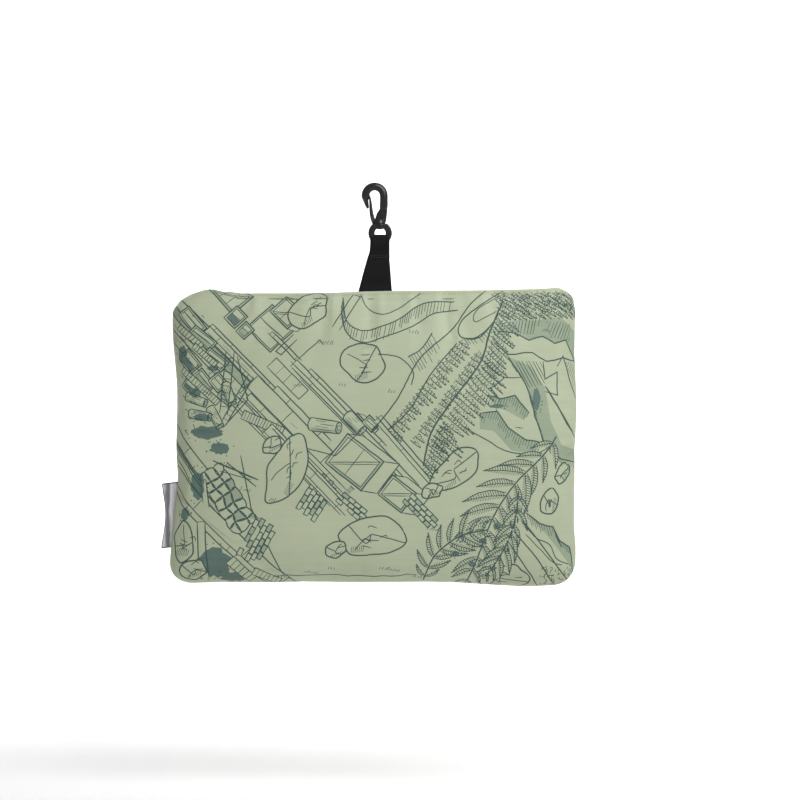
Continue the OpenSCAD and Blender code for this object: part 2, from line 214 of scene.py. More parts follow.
class Nodes:
    """A material's node tree, with short calls to add and link nodes."""

    def __init__(self, name):
        self.material = bpy.data.materials.new(name)
        self.material.use_nodes = True
        self.tree = self.material.node_tree
        self.tree.nodes.clear()
        self.shader = self.add("ShaderNodeBsdfPrincipled")
        output = self.add("ShaderNodeOutputMaterial")
        self.link(self.shader.outputs[0], output.inputs[0])
        self.place = self.add("ShaderNodeTexCoord").outputs["Object"]

    def add(self, kind, **settings):
        node = self.tree.nodes.new(kind)
        for key, value in settings.items():
            setattr(node, key, value)
        return node

    def link(self, out, into):
        self.tree.links.new(out, into)

    def scaled(self, scale):
        """Object coordinates, stretched by scale along X, Y and Z."""
        mapping = self.add("ShaderNodeMapping")
        mapping.inputs["Scale"].default_value = scale
        self.link(self.place, mapping.inputs["Vector"])
        return mapping.outputs[0]

    def noise(self, scale, detail=3.0, stretch=(1, 1, 1)):
        node = self.add("ShaderNodeTexNoise")
        node.inputs["Scale"].default_value = scale
        node.inputs["Detail"].default_value = detail
        self.link(self.scaled(stretch), node.inputs["Vector"])
        return node.outputs[0]

    def wave(self, period, axis):
        """Ridges of a given period in metres across axis."""
        node = self.add("ShaderNodeTexWave", wave_type="BANDS", bands_direction=axis, wave_profile="SIN")
        node.inputs["Scale"].default_value = 0.314 / period
        node.inputs["Distortion"].default_value = 0.0
        self.link(self.place, node.inputs["Vector"])
        return node.outputs["Fac"]

    def math(self, operation, a, b):
        node = self.add("ShaderNodeMath", operation=operation)
        for socket, value in zip(node.inputs, (a, b)):
            if isinstance(value, (int, float)):
                socket.default_value = value
            else:
                self.link(value, socket)
        return node.outputs[0]

    def ramp(self, factor, stops):
        """A colour ramp: stops are (position, colour)."""
        node = self.add("ShaderNodeValToRGB")
        elements = node.color_ramp.elements
        while len(elements) < len(stops):
            elements.new(0.5)
        for element, (position, colour) in zip(elements, stops):
            element.position = position
            element.color = (*colour, 1)
        self.link(factor, node.inputs[0])
        return node.outputs[0]

    def colour(self, out):
        self.link(out, self.shader.inputs["Base Color"])

    def rough(self, factor, low, high):
        node = self.add("ShaderNodeMapRange")
        node.inputs["To Min"].default_value = low
        node.inputs["To Max"].default_value = high
        self.link(factor, node.inputs["Value"])
        self.link(node.outputs[0], self.shader.inputs["Roughness"])

    def bump(self, height, distance, strength=1.0):
        node = self.add("ShaderNodeBump")
        node.inputs["Distance"].default_value = distance
        node.inputs["Strength"].default_value = strength
        self.link(height, node.inputs["Height"])
        self.link(node.outputs[0], self.shader.inputs["Normal"])

    def set(self, **values):
        for key, value in values.items():
            self.shader.inputs[key.replace("_", " ")].default_value = value
        return self.material


def srgb(r, g, b):
    """Linear colour from 8-bit sRGB."""
    def linear(c):
        c /= 255
        return c / 12.92 if c <= 0.04045 else ((c + 0.055) / 1.055) ** 2.4
    return (linear(r), linear(g), linear(b))


def shade(colour, factor):
    return tuple(min(1, c * factor) for c in colour)


def nylon(name, colour, spread=0.06):
    """Thin satin nylon: a fine plain weave with soft streaks along the weft."""
    m = Nodes(name)
    weave = m.math("MULTIPLY", m.wave(0.42 * MM, "X"), m.wave(0.36 * MM, "Z"))
    streaks = m.noise(90, 4, (0.35, 1, 6))
    patches = m.noise(28, 3)
    mixed = m.math("ADD", m.math("MULTIPLY", streaks, 0.45), m.math("MULTIPLY", patches, 0.55))
    m.colour(m.ramp(mixed, [(0.3, shade(colour, 1 - spread)), (0.7, shade(colour, 1 + spread))]))
    m.rough(streaks, 0.5, 0.64)
    m.bump(m.math("ADD", weave, m.math("MULTIPLY", streaks, 0.6)), 0.03 * MM, 0.5)
    return m.set(Sheen_Weight=0.08, Sheen_Roughness=0.45, Specular_IOR_Level=0.35)


def webbing(name, colour):
    """Dense black tape: ribs along it and a finer pick across."""
    m = Nodes(name)
    ribs = m.math("MULTIPLY", m.wave(0.55 * MM, "X"), m.wave(0.4 * MM, "Z"))
    fuzz = m.noise(900, 3)
    m.colour(m.ramp(m.math("ADD", m.math("MULTIPLY", ribs, 0.6), m.math("MULTIPLY", fuzz, 0.4)),
                    [(0.15, shade(colour, 0.55)), (0.8, shade(colour, 1.5))]))
    m.rough(fuzz, 0.7, 0.85)
    m.bump(ribs, 0.12 * MM, 0.8)
    return m.set(Sheen_Weight=0.02, Specular_IOR_Level=0.2)


def plastic(name, colour, low=0.3, high=0.42):
    """Moulded plastic with a fine spark-eroded grain."""
    m = Nodes(name)
    grain = m.noise(2600, 2)
    flow = m.noise(160, 3)
    m.colour(m.ramp(flow, [(0.3, shade(colour, 0.85)), (0.7, shade(colour, 1.2))]))
    m.rough(flow, low, high)
    m.bump(grain, 0.02 * MM, 0.4)
    return m.set(Specular_IOR_Level=0.5)


def thread(name, colour):
    """Twisted thread."""
    m = Nodes(name)
    twist = m.wave(0.3 * MM, "DIAGONAL")
    m.colour(m.ramp(twist, [(0.1, shade(colour, 0.7)), (0.9, shade(colour, 1.2))]))
    m.rough(twist, 0.5, 0.7)
    m.bump(twist, 0.05 * MM, 0.6)
    return m.set(Sheen_Weight=0.2)


def satin(name, colour, x0, x1):
    """Label satin: glossy floats along Z, with painted highlights near both long sides and painted shade down
    the middle, from x0 to x1.
    """
    m = Nodes(name)
    floats = m.wave(0.22 * MM, "X")
    streaks = m.noise(150, 4, (3, 3, 0.5))
    split = m.add("ShaderNodeSeparateXYZ")
    m.link(m.place, split.inputs[0])
    across = m.add("ShaderNodeMapRange")
    across.inputs["From Min"].default_value = x0
    across.inputs["From Max"].default_value = x1
    m.link(split.outputs[0], across.inputs["Value"])
    swayed = m.math("ADD", across.outputs[0], m.math("MULTIPLY", m.math("SUBTRACT", streaks, 0.5), 0.45))
    # The light stops are painted highlights near the label's sides, and the dark stops are painted shade
    # across its middle.
    light = shade(colour, 1.35)
    stops = [(0.05, colour), (0.22, light), (0.42, shade(colour, 0.34))]
    stops += [(0.6, shade(colour, 0.3)), (0.76, light), (1.0, shade(colour, 0.9))]
    m.colour(m.ramp(swayed, stops))
    m.rough(streaks, 0.26, 0.4)
    m.bump(m.math("ADD", floats, streaks), 0.03 * MM, 0.4)
    return m.set(Sheen_Weight=0.2, Specular_IOR_Level=0.6)


def painted(name, colour):
    """Metal under a coat of paint."""
    m = Nodes(name)
    grain = m.noise(1400, 2)
    m.colour(m.ramp(m.noise(300, 2), [(0.3, shade(colour, 0.9)), (0.7, shade(colour, 1.1))]))
    m.rough(grain, 0.3, 0.42)
    m.bump(grain, 0.01 * MM, 0.3)
    return m.set(Metallic=0.35, Coat_Weight=0.2)


SAGE = srgb(170, 178, 151)
NYLON = nylon("printed_nylon", SAGE)
INK = nylon("ink", srgb(60, 82, 76), 0.16)
TINT = nylon("tint", srgb(143, 156, 133))
DEEP = nylon("deep_tint", srgb(88, 110, 102), 0.14)
LINING = nylon("lining", shade(SAGE, 0.8))
WEBBING = webbing("black_webbing", (0.0055, 0.0055, 0.006))
PLASTIC = plastic("black_plastic", (0.007, 0.007, 0.0074), 0.24, 0.34)
BLACK_THREAD = thread("black_thread", (0.008, 0.008, 0.009))
SAGE_THREAD = thread("sage_thread", shade(SAGE, 0.92))
# The label's satin carries painted highlights and painted shade across its width.
SATIN = satin("label_satin", srgb(186, 186, 190), label_lo[0], label_hi[0] + MM)
# Dark edges along the label's top and foot, and painted shade down its fold.
LABEL_EDGE_AND_FOLD_SHADE = thread("label_edge", srgb(70, 70, 74))
BINDING = webbing("binding_tape", shade(SAGE, 0.6))
ZIP_TAPE = webbing("zip_tape", shade(SAGE, 0.6))
ZIP_COIL = plastic("zip_coil", shade(SAGE, 0.55), 0.35, 0.5)
ZIP_METAL = painted("zip_metal", shade(SAGE, 0.6))


# ================= Camera, light and floor =================

def look_along(obj, eye, target):
    obj.location = eye
    obj.rotation_euler = (Vector(target) - Vector(eye)).to_track_quat("-Z", "Y").to_euler()


def add_camera():
    """Square on to the front, far off, with the pouch a little low in the frame as in the photograph."""
    view_w = 0.4616
    lens = 135
    sensor = 36
    distance = view_w * lens / sensor
    aim = (0.0147, MID_Y, -0.1174)
    data = bpy.data.cameras.new("camera")
    data.lens = lens
    data.clip_end = 20
    camera = new_object("camera", data)
    look_along(camera, (aim[0], aim[1] - distance, aim[2]), aim)
    bpy.context.scene.camera = camera


def add_area(name, eye, target, size, power):
    data = bpy.data.lights.new(name, "AREA")
    data.shape = "DISK"
    data.size = size
    data.energy = power
    light = new_object(name, data)
    light.visible_camera = False
    look_along(light, eye, target)


def add_floor():
    """A pale floor that sweeps up into a backdrop."""
    low = front_lo[2] - 0.12
    reach, back, radius, steps = 4.0, 2.8, 0.8, 12
    profile = [(-reach, low), (back - radius, low)]
    for k in range(1, steps + 1):
        a = math.pi / 2 * k / steps
        profile.append((back - radius + radius * math.sin(a), low + radius * (1 - math.cos(a))))
    profile.append((back, low + reach))
    verts = [(x, y, z) for y, z in profile for x in (-reach, reach)]
    m = Nodes("floor")
    m.colour(m.ramp(m.noise(3, 2), [(0, (0.9, 0.9, 0.9)), (1, (0.92, 0.92, 0.92))]))
    mesh_object("floor", verts, grid_faces(len(profile), 2), [m.set(Roughness=0.9)])


add_camera()
bpy.context.scene.view_settings.view_transform = "Standard"
for name, eye, size, power in (
    ("key", (0.32, -0.46, 0.36), 0.6, 4.7),
    ("fill", (-1.4, -1.2, 0.3), 1.4, 0.8),
    ("rim", (-0.4, 0.9, 0.9), 1.0, 4),
):
    add_area(name, eye, (0, 0, MID_Z), size, power)
for side in (-1, 1):
    add_area("backdrop_light", (side * 1.5, 1.0, 0.4), (side * 0.5, 2.6, MID_Z), 1.0, 60)
world = bpy.data.worlds.new("studio")
world.use_nodes = True
background = world.node_tree.nodes["Background"]
background.inputs["Color"].default_value = (1, 1, 1, 1)
background.inputs["Strength"].default_value = 0.36
bpy.context.scene.world = world
add_floor()


# ================= The pouch's form =================
# A panel is flat cloth with coordinates u and v. It wraps a straight-sided form whose edges are
# quarter ellipses, so the print keeps its scale where the cloth turns towards the seam.

CENTRE_X = HALF_W - CORNER                # the flat middle ends here, and the edges' curve starts
CENTRE_V = HALF_H - CORNER

# The angle round an edge, and the cloth's length up to each angle.
EDGE_TURN = np.linspace(0, math.pi / 2, 400)
steps = np.hypot(np.diff(CORNER * np.sin(EDGE_TURN)), np.diff(EDGE * np.cos(EDGE_TURN)))
EDGE_LENGTH = np.concatenate([[0], np.cumsum(steps)])
WRAP = float(EDGE_LENGTH[-1])             # the cloth's length over an edge, from flat to seam
HALF_U = CENTRE_X + WRAP                  # half of the flat panel's size
HALF_V = CENTRE_V + WRAP

# Where the stuffing pushes or pulls the outline: x, v, how far in x and in z, and its reach, in mm.
PULLS = [
    (116, 85, 0.7, 1.2, 14), (-116, -85, -1.3, -0.4, 16), (-116, 62, -0.9, 0.3, 22),
    (-116, 22, 1.0, 0, 26), (-116, -24, 1.2, 0, 14), (-116, -70, -1.3, 0, 26),
    (116, 18, 0.9, 0, 22), (116, -50, -0.3, 0, 20), (116, -64, 0.5, 0, 9), (110, -82, -0.6, 0.7, 16),
    (-104, 85, -0.2, -1.2, 18), (-60, 85, 0, 0.4, 24), (30, -85, 0, 0.5, 30), (88, -85, 0, -0.8, 26),
    (-30, -85, 0, 0.3, 20), (60, 85, 0, -0.3, 25), (-95, 85, 0, 3.3, 9), (-48, 85, 0, -0.9, 38),
]
LEAN_TOP = 1.5 * MM                       # the top edge rises this much at its right end and sinks at its left
LEAN_FOOT = 0.7 * MM                      # the bottom edge does the opposite


def outline_pull(x, v):
    dx = np.zeros_like(x)
    dz = np.zeros_like(x)
    for px, pv, mx, mz, reach in PULLS:
        near = np.exp(-((x - px * MM) ** 2 + (v - pv * MM) ** 2) / (reach * MM) ** 2)
        dx += mx * MM * near
        dz += mz * MM * near
    top = np.clip(v / HALF_H, -1, 1)
    lean = np.clip(x / HALF_W, -1, 1)
    dz += np.where(top > 0, LEAN_TOP, LEAN_FOOT) * lean * top
    return dx, dz


def ripple(s, seed):
    """Uneven waves along a seam, in millimetres of s."""
    return sum(a * np.sin(2 * math.pi * s / (w * MM) + seed * k) for k, w, a in
               ((1, 8.7, 0.2), (2, 14.3, 0.3), (3, 23.9, 0.3), (5, 41.0, 0.35)))


def puckers(u, v, side, rho):
    """Where the seams gather the cloth: small hills that run in from each edge and fade."""
    total = np.zeros_like(u)
    for distance, along, seed in ((HALF_V - np.abs(v), u, 1.3 * side + np.sign(v)),
                                  (HALF_U - np.abs(u), v, 2.1 * side + np.sign(u))):
        near = np.exp(-np.maximum(distance - 5 * MM, 0) / (10 * MM)) * np.clip(distance / (5 * MM), 0, 1)
        total = total + near * ripple(along, seed) * 0.55 * MM
    return total * np.cos(np.interp(rho, EDGE_LENGTH, EDGE_TURN)) ** 0.5


def form(u, v, side):
    """Points of the stuffed form for flat points (u, v); side is -1 on the front, 1 on the back."""
    qx = np.sign(u) * np.maximum(np.abs(u) - CENTRE_X, 0)
    qv = np.sign(v) * np.maximum(np.abs(v) - CENTRE_V, 0)
    rho = np.hypot(qx, qv)
    phi = np.interp(rho, EDGE_LENGTH, EDGE_TURN)
    ratio = np.where(rho > 1e-9, CORNER * np.sin(phi) / np.maximum(rho, 1e-9), 1)
    x = np.clip(u, -CENTRE_X, CENTRE_X) + qx * ratio
    z = np.clip(v, -CENTRE_V, CENTRE_V) + qv * ratio
    full = np.cos(phi)
    top = np.where(qv > 0, qv / np.maximum(rho, 1e-9), 0) ** 2
    closing = np.clip((np.abs(x) - ZIP_END) / (9 * MM), 0, 1)
    gap = ZIP_HALF * (1 - closing * closing * (3 - 2 * closing)) * top
    dome_x = np.clip(1 - np.abs(x / (HALF_W - 4 * MM)) ** 2.6, 0, 1)
    dome_z = np.clip(1 - np.abs(z / (HALF_H - 4 * MM)) ** 2.6, 0, 1)
    depth = EDGE * full + gap * (1 - full) + (CROWN - EDGE) * dome_x * dome_z
    depth = depth + puckers(u, v, side, rho)
    dx, dz = outline_pull(x, z)
    return np.stack([x + dx, MID_Y + side * depth, MID_Z + z + dz], axis=-1)


# ---- The simulated cloth, on a square grid that is drawn in to the round corners ----

FRAMES = 24
MOST_SHIFT = 3.2 * MM                     # the simulation moves no point further than this
CELL = 3 * MM
NU = 2 * round(HALF_U / CELL) + 1
NV = 2 * round(HALF_V / CELL) + 1


def to_disc(p, q):
    return p * np.sqrt(1 - q * q / 2), q * np.sqrt(1 - p * p / 2)


def from_disc(p, q):
    s = 2 * math.sqrt(2)
    a = 2 + p * p - q * q
    b = 2 - p * p + q * q
    new_p = 0.5 * (np.sqrt(np.maximum(a + s * p, 0)) - np.sqrt(np.maximum(a - s * p, 0)))
    new_q = 0.5 * (np.sqrt(np.maximum(b + s * q, 0)) - np.sqrt(np.maximum(b - s * q, 0)))
    return new_p, new_q


def square_to_flat(u, v, remap):
    """Moves points between the square grid and the round-cornered flat panel."""
    p = np.maximum(np.abs(u) - CENTRE_X, 0) / WRAP
    q = np.maximum(np.abs(v) - CENTRE_V, 0) / WRAP
    new_p, new_q = remap(np.minimum(p, 1), np.minimum(q, 1))
    corner = (p > 0) & (q > 0)
    new_u = np.sign(u) * (CENTRE_X + new_p * WRAP)
    new_v = np.sign(v) * (CENTRE_V + new_q * WRAP)
    return np.where(corner, new_u, u), np.where(corner, new_v, v)


def cloth_grid():
    u, v = np.meshgrid(np.linspace(-HALF_U, HALF_U, NU), np.linspace(-HALF_V, HALF_V, NV), indexing="ij")
    return square_to_flat(u, v, to_disc)


def simulate_cloth():
    """How far the cloth moves from the form on each side, for every point of the grid.

    Both panels are one shell, sewn at the sides and bottom and pinned along the zip. It has a
    little more cloth than the form needs and pressure from the stuffing, so it buckles softly.
    """
    u, v = cloth_grid()
    forms = {side: form(u, v, side) for side in (-1, 1)}
    index = {side: np.zeros((NU, NV), int) for side in (-1, 1)}
    verts, pinned = [], []
    for side in (-1, 1):
        for i in range(NU):
            for j in range(NV):
                seam = i in (0, NU - 1) or j == 0
                if side == 1 and seam:
                    index[1][i, j] = index[-1][i, j]
                    continue
                index[side][i, j] = len(verts)
                verts.append(forms[side][i, j])
                if j == NV - 1:
                    pinned.append(len(verts) - 1)
    faces = []
    for side in (-1, 1):
        for i in range(NU - 1):
            for j in range(NV - 1):
                quad = (index[side][i, j], index[side][i + 1, j],
                        index[side][i + 1, j + 1], index[side][i, j + 1])
                faces.append(tuple(int(k) for k in (quad if side < 0 else reversed(quad))))
    shell = mesh_object("cloth_sim", verts, faces)
    group = shell.vertex_groups.new(name="pins")
    group.add(pinned, 1.0, "REPLACE")
    modifier = shell.modifiers.new("cloth", "CLOTH")
    cloth = modifier.settings
    cloth.quality = 6
    cloth.mass = 0.12
    cloth.tension_stiffness = 18
    cloth.compression_stiffness = 12
    cloth.shear_stiffness = 6
    cloth.bending_stiffness = 0.4
    cloth.air_damping = 3
    cloth.shrink_min = -0.02
    cloth.use_pressure = True
    cloth.uniform_pressure_force = 2.2
    cloth.vertex_group_mass = "pins"
    cloth.effector_weights.gravity = 0
    modifier.point_cache.frame_start = 1
    modifier.point_cache.frame_end = FRAMES
    scene = bpy.context.scene
    for step in range(1, FRAMES + 1):
        scene.frame_set(step)
    evaluated = shell.evaluated_get(bpy.context.evaluated_depsgraph_get())
    moved = np.zeros(len(verts) * 3)
    evaluated.data.vertices.foreach_get("co", moved)
    moved = moved.reshape(-1, 3)
    scene.frame_set(1)
    shift = {side: moved[index[side]] - forms[side] for side in (-1, 1)}
    bpy.data.objects.remove(shell)
    inside = np.minimum(HALF_U - np.abs(u), HALF_V - np.abs(v))
    loose = 0.3 + 0.7 * np.clip(inside / (28 * MM), 0, 1)    # the seams hold the cloth's edges
    return {side: capped(shift[side], MOST_SHIFT) * loose[..., None] for side in shift}


def capped(shift, most):
    """Movements shortened smoothly, so that none is longer than most."""
    size = np.linalg.norm(shift, axis=-1, keepdims=True)
    return shift * (most * np.tanh(size / most) / np.maximum(size, 1e-9))


SHIFT = simulate_cloth()


def cubic(values, a, b):
    """Catmull-Rom interpolation of a grid of values at fractional places a, b."""
    i = np.clip(np.floor(a).astype(int), 0, NU - 2)
    j = np.clip(np.floor(b).astype(int), 0, NV - 2)

    def weights(t):
        return (-0.5 * t + t * t - 0.5 * t ** 3, 1 - 2.5 * t * t + 1.5 * t ** 3,
                0.5 * t + 2 * t * t - 1.5 * t ** 3, -0.5 * t * t + 0.5 * t ** 3)

    wa = weights(a - i)
    wb = weights(b - j)
    total = 0
    for m in range(4):
        for n in range(4):
            k = np.clip(i + m - 1, 0, NU - 1)
            other = np.clip(j + n - 1, 0, NV - 1)
            total = total + (wa[m] * wb[n])[..., None] * values[k, other]
    return total


def cloth(u, v, side):
    """Points of the finished panel for flat points (u, v)."""
    su, sv = square_to_flat(u, v, from_disc)
    a = np.clip((su + HALF_U) / (2 * HALF_U), 0, 1) * (NU - 1)
    b = np.clip((sv + HALF_V) / (2 * HALF_V), 0, 1) * (NV - 1)
    return form(u, v, side) + cubic(SHIFT[side], a, b)


def cloth_normal(u, v, side):
    """The finished panel's outward normals, from its slope over a short step each way."""
    e = 0.2 * MM
    inner = 1 - 1e-4
    u = np.clip(u, -HALF_U * inner, HALF_U * inner)
    du = cloth(u + e, v, side) - cloth(u - e, v, side)
    dv = cloth(u, v + e, side) - cloth(u, v - e, side)
    normal = np.cross(du, dv) * -side
    return normal / np.maximum(np.linalg.norm(normal, axis=-1, keepdims=True), 1e-12)


# ================= The print =================
# A line drawing of planks, crates, boulders, conifers and ferns, made up for this bag. It is drawn
# in millimetres on the flat panel, with each point as a complex number: x + z j.

TINTED, DARK, INKED = 1, 2, 3             # tones, which are also the panel's material slots


def ray(length, degrees):
    return cmath.rect(length, math.radians(degrees))


def box_points(x0, z0, x1, z1):
    return [complex(x0, z0), complex(x1, z0), complex(x1, z1), complex(x0, z1)]


def motif(draw):
    """Lets a motif be drawn at its own origin: its place x, z and turn come before its arguments."""
    def drawn(self, x, z, degrees, *rest):
        self.origin, self.turn = complex(x, z), ray(1, degrees)
        draw(self, *rest)
        self.origin, self.turn = 0, 1
    return drawn


class Print:
    """A drawing as a list of marks in drawing order: (points, width or None for a patch, tone)."""

    def __init__(self, seed):
        self.random = random.Random(seed)
        self.marks = []
        self.origin, self.turn = 0, 1

    def near(self, value, spread):
        return value + self.random.uniform(-spread, spread)

    def jitter(self, spread):
        return complex(self.near(0, spread), self.near(0, spread))

    def chance(self, share):
        return self.random.random() < share

    def at(self, points):
        """A motif's own points at their place on the panel."""
        return [self.origin + p * self.turn for p in points]

    def stroke(self, points, width):
        self.marks.append((self.at(points), width, INKED))

    def dash(self, a, b, width=0.7):
        self.stroke([a, b], width)

    def line(self, points, width=0.75, wobble=0.14):
        """A hand-drawn polyline: long stretches are cut up and waver a little."""
        points = self.at(points)
        out = [points[0]]
        for a, b in zip(points, points[1:]):
            parts = max(1, round(abs(b - a) / 5))
            for k in range(1, parts + 1):
                p = a + (b - a) * k / parts
                if k < parts:
                    p += self.jitter(wobble)
                out.append(p)
        self.marks.append((out, width, INKED))

    def curve(self, points, width=0.75, closed=False):
        """A smooth stroke through the points."""
        pts = self.at(points)
        ends = [pts[-1], *pts, pts[0], pts[1]] if closed else [pts[0], *pts, pts[-1]]
        out = []
        for p0, p1, p2, p3 in zip(ends, ends[1:], ends[2:], ends[3:]):
            parts = max(2, round(abs(p2 - p1) / 1.6))
            for k in range(parts):
                out.append(spline(p0, p1, p2, p3, k / parts) + self.jitter(0.1))
        out.append(out[0] if closed else pts[-1])
        self.marks.append((out, width, INKED))
        return out

    def patch(self, points, tone=TINTED):
        self.marks.append((self.at(points), None, tone))

    def blank(self, points):
        """Rubs out what lies behind the next motif."""
        self.patch(points, 0)

    def ring(self, points, width=0.75):
        self.line(points + points[:1], width)

    def board(self, w, h, width):
        """A blank rectangle with a line round it."""
        self.blank(box_points(0, 0, w, h))
        self.ring(box_points(0, 0, w, h), width)

    @motif
    def planks(self, length, widths, joint=22, tone=None, grain=0.5):
        """Boards side by side along X, with staggered end joints and a little grain."""
        z = 0
        self.blank(box_points(0, -sum(widths), length, 0))
        self.line([0, length], 0.85)
        for row, width in enumerate(widths):
            if tone and row % 3 == 1:
                self.patch(box_points(0, z - width, length, z), tone)
            x = self.near(joint * 0.5, joint * 0.3)
            while x < length:
                self.line([complex(x, z), complex(self.near(x, 0.5), z - width)], 0.65)
                if width > 3.5 and self.chance(grain):
                    start = x + self.near(3, 1.5)
                    end = complex(start + self.near(7, 3), z - width * 0.55)
                    self.line([complex(start, z - width * 0.6), end], 0.4)
                x += self.near(joint, joint * 0.3)
            z -= width
            self.line([complex(self.near(0, 2), z), complex(self.near(length, 3), z)], self.near(0.75, 0.15))
        self.line([0, complex(0, z)])

    @motif
    def crate(self, w, h, rim=1.5, slats=3, depth=0):
        """A crate seen from the front: two rims, slats and a brace, and its far side for some depth."""
        d = complex(depth, depth * 0.55)
        self.blank([0, w, w + d, complex(w, h) + d, complex(0, h) + d, complex(0, h)])
        self.ring(box_points(0, 0, w, h), 0.9)
        self.ring(box_points(rim, rim, w - rim, h - rim), 0.6)
        for k in range(1, slats):
            x = rim + (w - 2 * rim) * k / slats
            self.line([complex(x, rim), complex(x, h - rim)], 0.55)
        self.line([complex(rim, rim), complex(w - rim, h - rim)], 0.6)
        self.line([complex(rim * 2.2, rim), complex(w - rim, h - rim * 2.2)], 0.5)
        self.patch(box_points(0, 0, w, rim))
        self.patch(box_points(w - rim, 0, w, h))
        if depth:
            corners = (complex(0, h), complex(w, h), complex(w, 0))
            for corner in corners:
                self.line([corner, corner + d])
            self.line([corner + d for corner in corners])

    @motif
    def louvre(self, w, h, count, width=0.85):
        """A row of close, heavy slats."""
        self.board(w, h, 0.7)
        for k in range(1, count):
            x = w * k / count
            self.dash(complex(x, 0.3), complex(self.near(x, 0.4), h - 0.3), self.near(width, 0.15))

    @motif
    def frame(self, w, h, tone=0):
        """A window-like frame in nested rims, with a bar across."""
        rim = 1.1
        self.board(w, h, 0.9)
        self.ring(box_points(rim, rim, w - rim, h - rim), 0.6)
        self.line([complex(rim, h * 0.5), complex(w - rim, h * 0.55)], 0.8)
        if tone:
            self.patch(box_points(rim, rim, w - rim, h * 0.5), tone)

    @motif
    def log(self, length, r):
        """A short log lying along X, with rings on its near end."""
        self.blank([complex(0, -r), complex(length, -r), length + r * 0.4,
                    complex(length, r), complex(0, r), -r * 0.45])
        for z in (-r, r):
            self.line([complex(0, z), complex(length, z * 0.9)], 0.85)
        for size, width in ((1.0, 0.8), (0.45, 0.5)):
            self.curve([complex(length + 0.45 * r * size * math.cos(a), 0.9 * r * size * math.sin(a))
                        for a in (0, 1.2, 2.5, 3.8, 5.1)], width, True)
        self.curve([complex(0.45 * r * math.cos(a), r * math.sin(a)) for a in (1.57, 2.4, 3.14, 3.9, 4.71)])
        for k in range(4):
            z = (k - 1.5) * r * 0.42
            x = length * self.near(0.2, 0.12)
            self.line([complex(x, z), complex(x + length * self.near(0.45, 0.2), z)], 0.5)
        self.patch([complex(0, -r), complex(length, -r * 0.9),
                    complex(length, -r * 0.35), complex(0, -r * 0.45)])

    @motif
    def bricks(self, rows, columns, w=4.6, h=2.7):
        """A ragged patch of brickwork."""
        for r in range(rows):
            shift = (r % 2) * w / 2 + r * 0.35
            for c in range(columns):
                if self.chance(0.1):
                    continue
                x = shift + c * w
                z = r * h
                corners = [p + self.jitter(0.18) for p in box_points(x, z, x + w * 0.95, z + h * 0.92)]
                self.blank(corners)
                self.ring(corners, 0.72)
                if self.chance(0.3):
                    self.patch(corners)

    @motif
    def cobbles(self, w, h, size):
        """Irregular stones between two kerbs."""
        self.blank(box_points(0, 0, w, h))
        rows = max(1, round(h / size))
        columns = max(1, round(w / size))
        knots = {(i, j): complex(w * i / columns + self.near(0, 1.3), h * j / rows + self.near(0, 1.2))
                 for i in range(columns + 1) for j in range(rows + 1)}
        for i in range(columns):
            for j in range(rows):
                quad = [knots[i, j], knots[i + 1, j], knots[i + 1, j + 1], knots[i, j + 1]]
                middle = sum(quad) / 4
                rim = self.curve([middle + (p - middle) * 0.92 for p in quad], 0.8, True)
                if self.chance(0.35):
                    self.marks.append((rim[:-1], None, TINTED))

    @motif
    def boulder(self, w, h, cracks):
        """A rounded rock with chisel marks, a broken face and a hatched foot."""
        count = 11
        rim = []
        for k in range(count):
            a = 2 * math.pi * k / count
            lump = self.near(1, 0.13)
            rim.append(complex(w / 2 * math.cos(a), h / 2 * math.sin(a)) * lump)
        self.blank(rim)
        self.curve(rim, 0.95, True)
        start = self.random.randrange(count)
        corner = complex(self.near(0, w * 0.12), self.near(0, h * 0.1))
        self.curve([rim[start], (rim[start] + corner) * 0.55, corner], 0.7)
        chip = complex(self.near(-w * 0.1, 1), self.near(-h * 0.18, 1))
        self.curve([corner, chip, rim[(start + 5) % count] * 0.97], 0.7)
        last = rim[(start + 8) % count]
        self.curve([corner, (corner + last) / 2 + 0.8j, last * 0.8], 0.6)
        for k in range(cracks):
            x = self.near(0, w * 0.28)
            z = self.near(0, h * 0.24)
            bend = complex(x + self.near(2.5, 1), z + self.near(0, 1.4))
            self.curve([complex(x, z), bend, complex(x + self.near(4.5, 1), z - self.near(1.2, 1))], 0.6)
        for k in range(7):
            x = -w * 0.34 + k * 1.15
            self.dash(complex(x, -h * 0.37), complex(x + 1.3, -h * 0.2), 0.55)

    @motif
    def conifer(self, height, half):
        """A spruce along X: a pointed side, a ragged side, and two rows of heavy dashes."""
        tiers = max(5, round(height / 1.9))
        for side in (-1, 1):
            points = []
            for k in range(tiers):
                t = k / tiers
                spread = half * (1 - t ** 1.7)
                points.append(complex(height * t, side * spread))
                points.append(complex(height * (t + 0.5 / tiers), side * spread * 0.72))
            if side < 0:
                self.stroke(points + [height], 0.6)
            else:
                for a, b in zip(points[::2], points[1::2]):
                    self.dash(a, b, 0.6)
        for k in range(tiers):
            t = (k + 0.35) / tiers
            for row in (-0.38, 0.32):
                if not self.chance(0.16):
                    z = half * row * (1 - t * 0.7)
                    tip = complex(height * (t + 0.48 / tiers), z + 0.18)
                    self.dash(complex(height * t, z), tip, self.near(0.85, 0.15))

    def conifers(self, start, end, degrees, height, spacing, half):
        """A row of spruces that stand shoulder to shoulder on the line from start to end."""
        count = max(2, round(abs(end - start) / spacing))
        for k in range(count + 1):
            foot = start + (end - start) * k / count
            tall = height * self.near(0.8, 0.2)
            self.conifer(self.near(foot.real, 0.5), self.near(foot.imag, 0.5), self.near(degrees, 5),
                         tall, half)
            for _ in range(3):
                p = foot + ray(tall * self.random.random() * 0.7, degrees)
                p += self.jitter(1.4)
                self.dash(p, p + ray(1.1, degrees + self.near(0, 30)), 0.8)

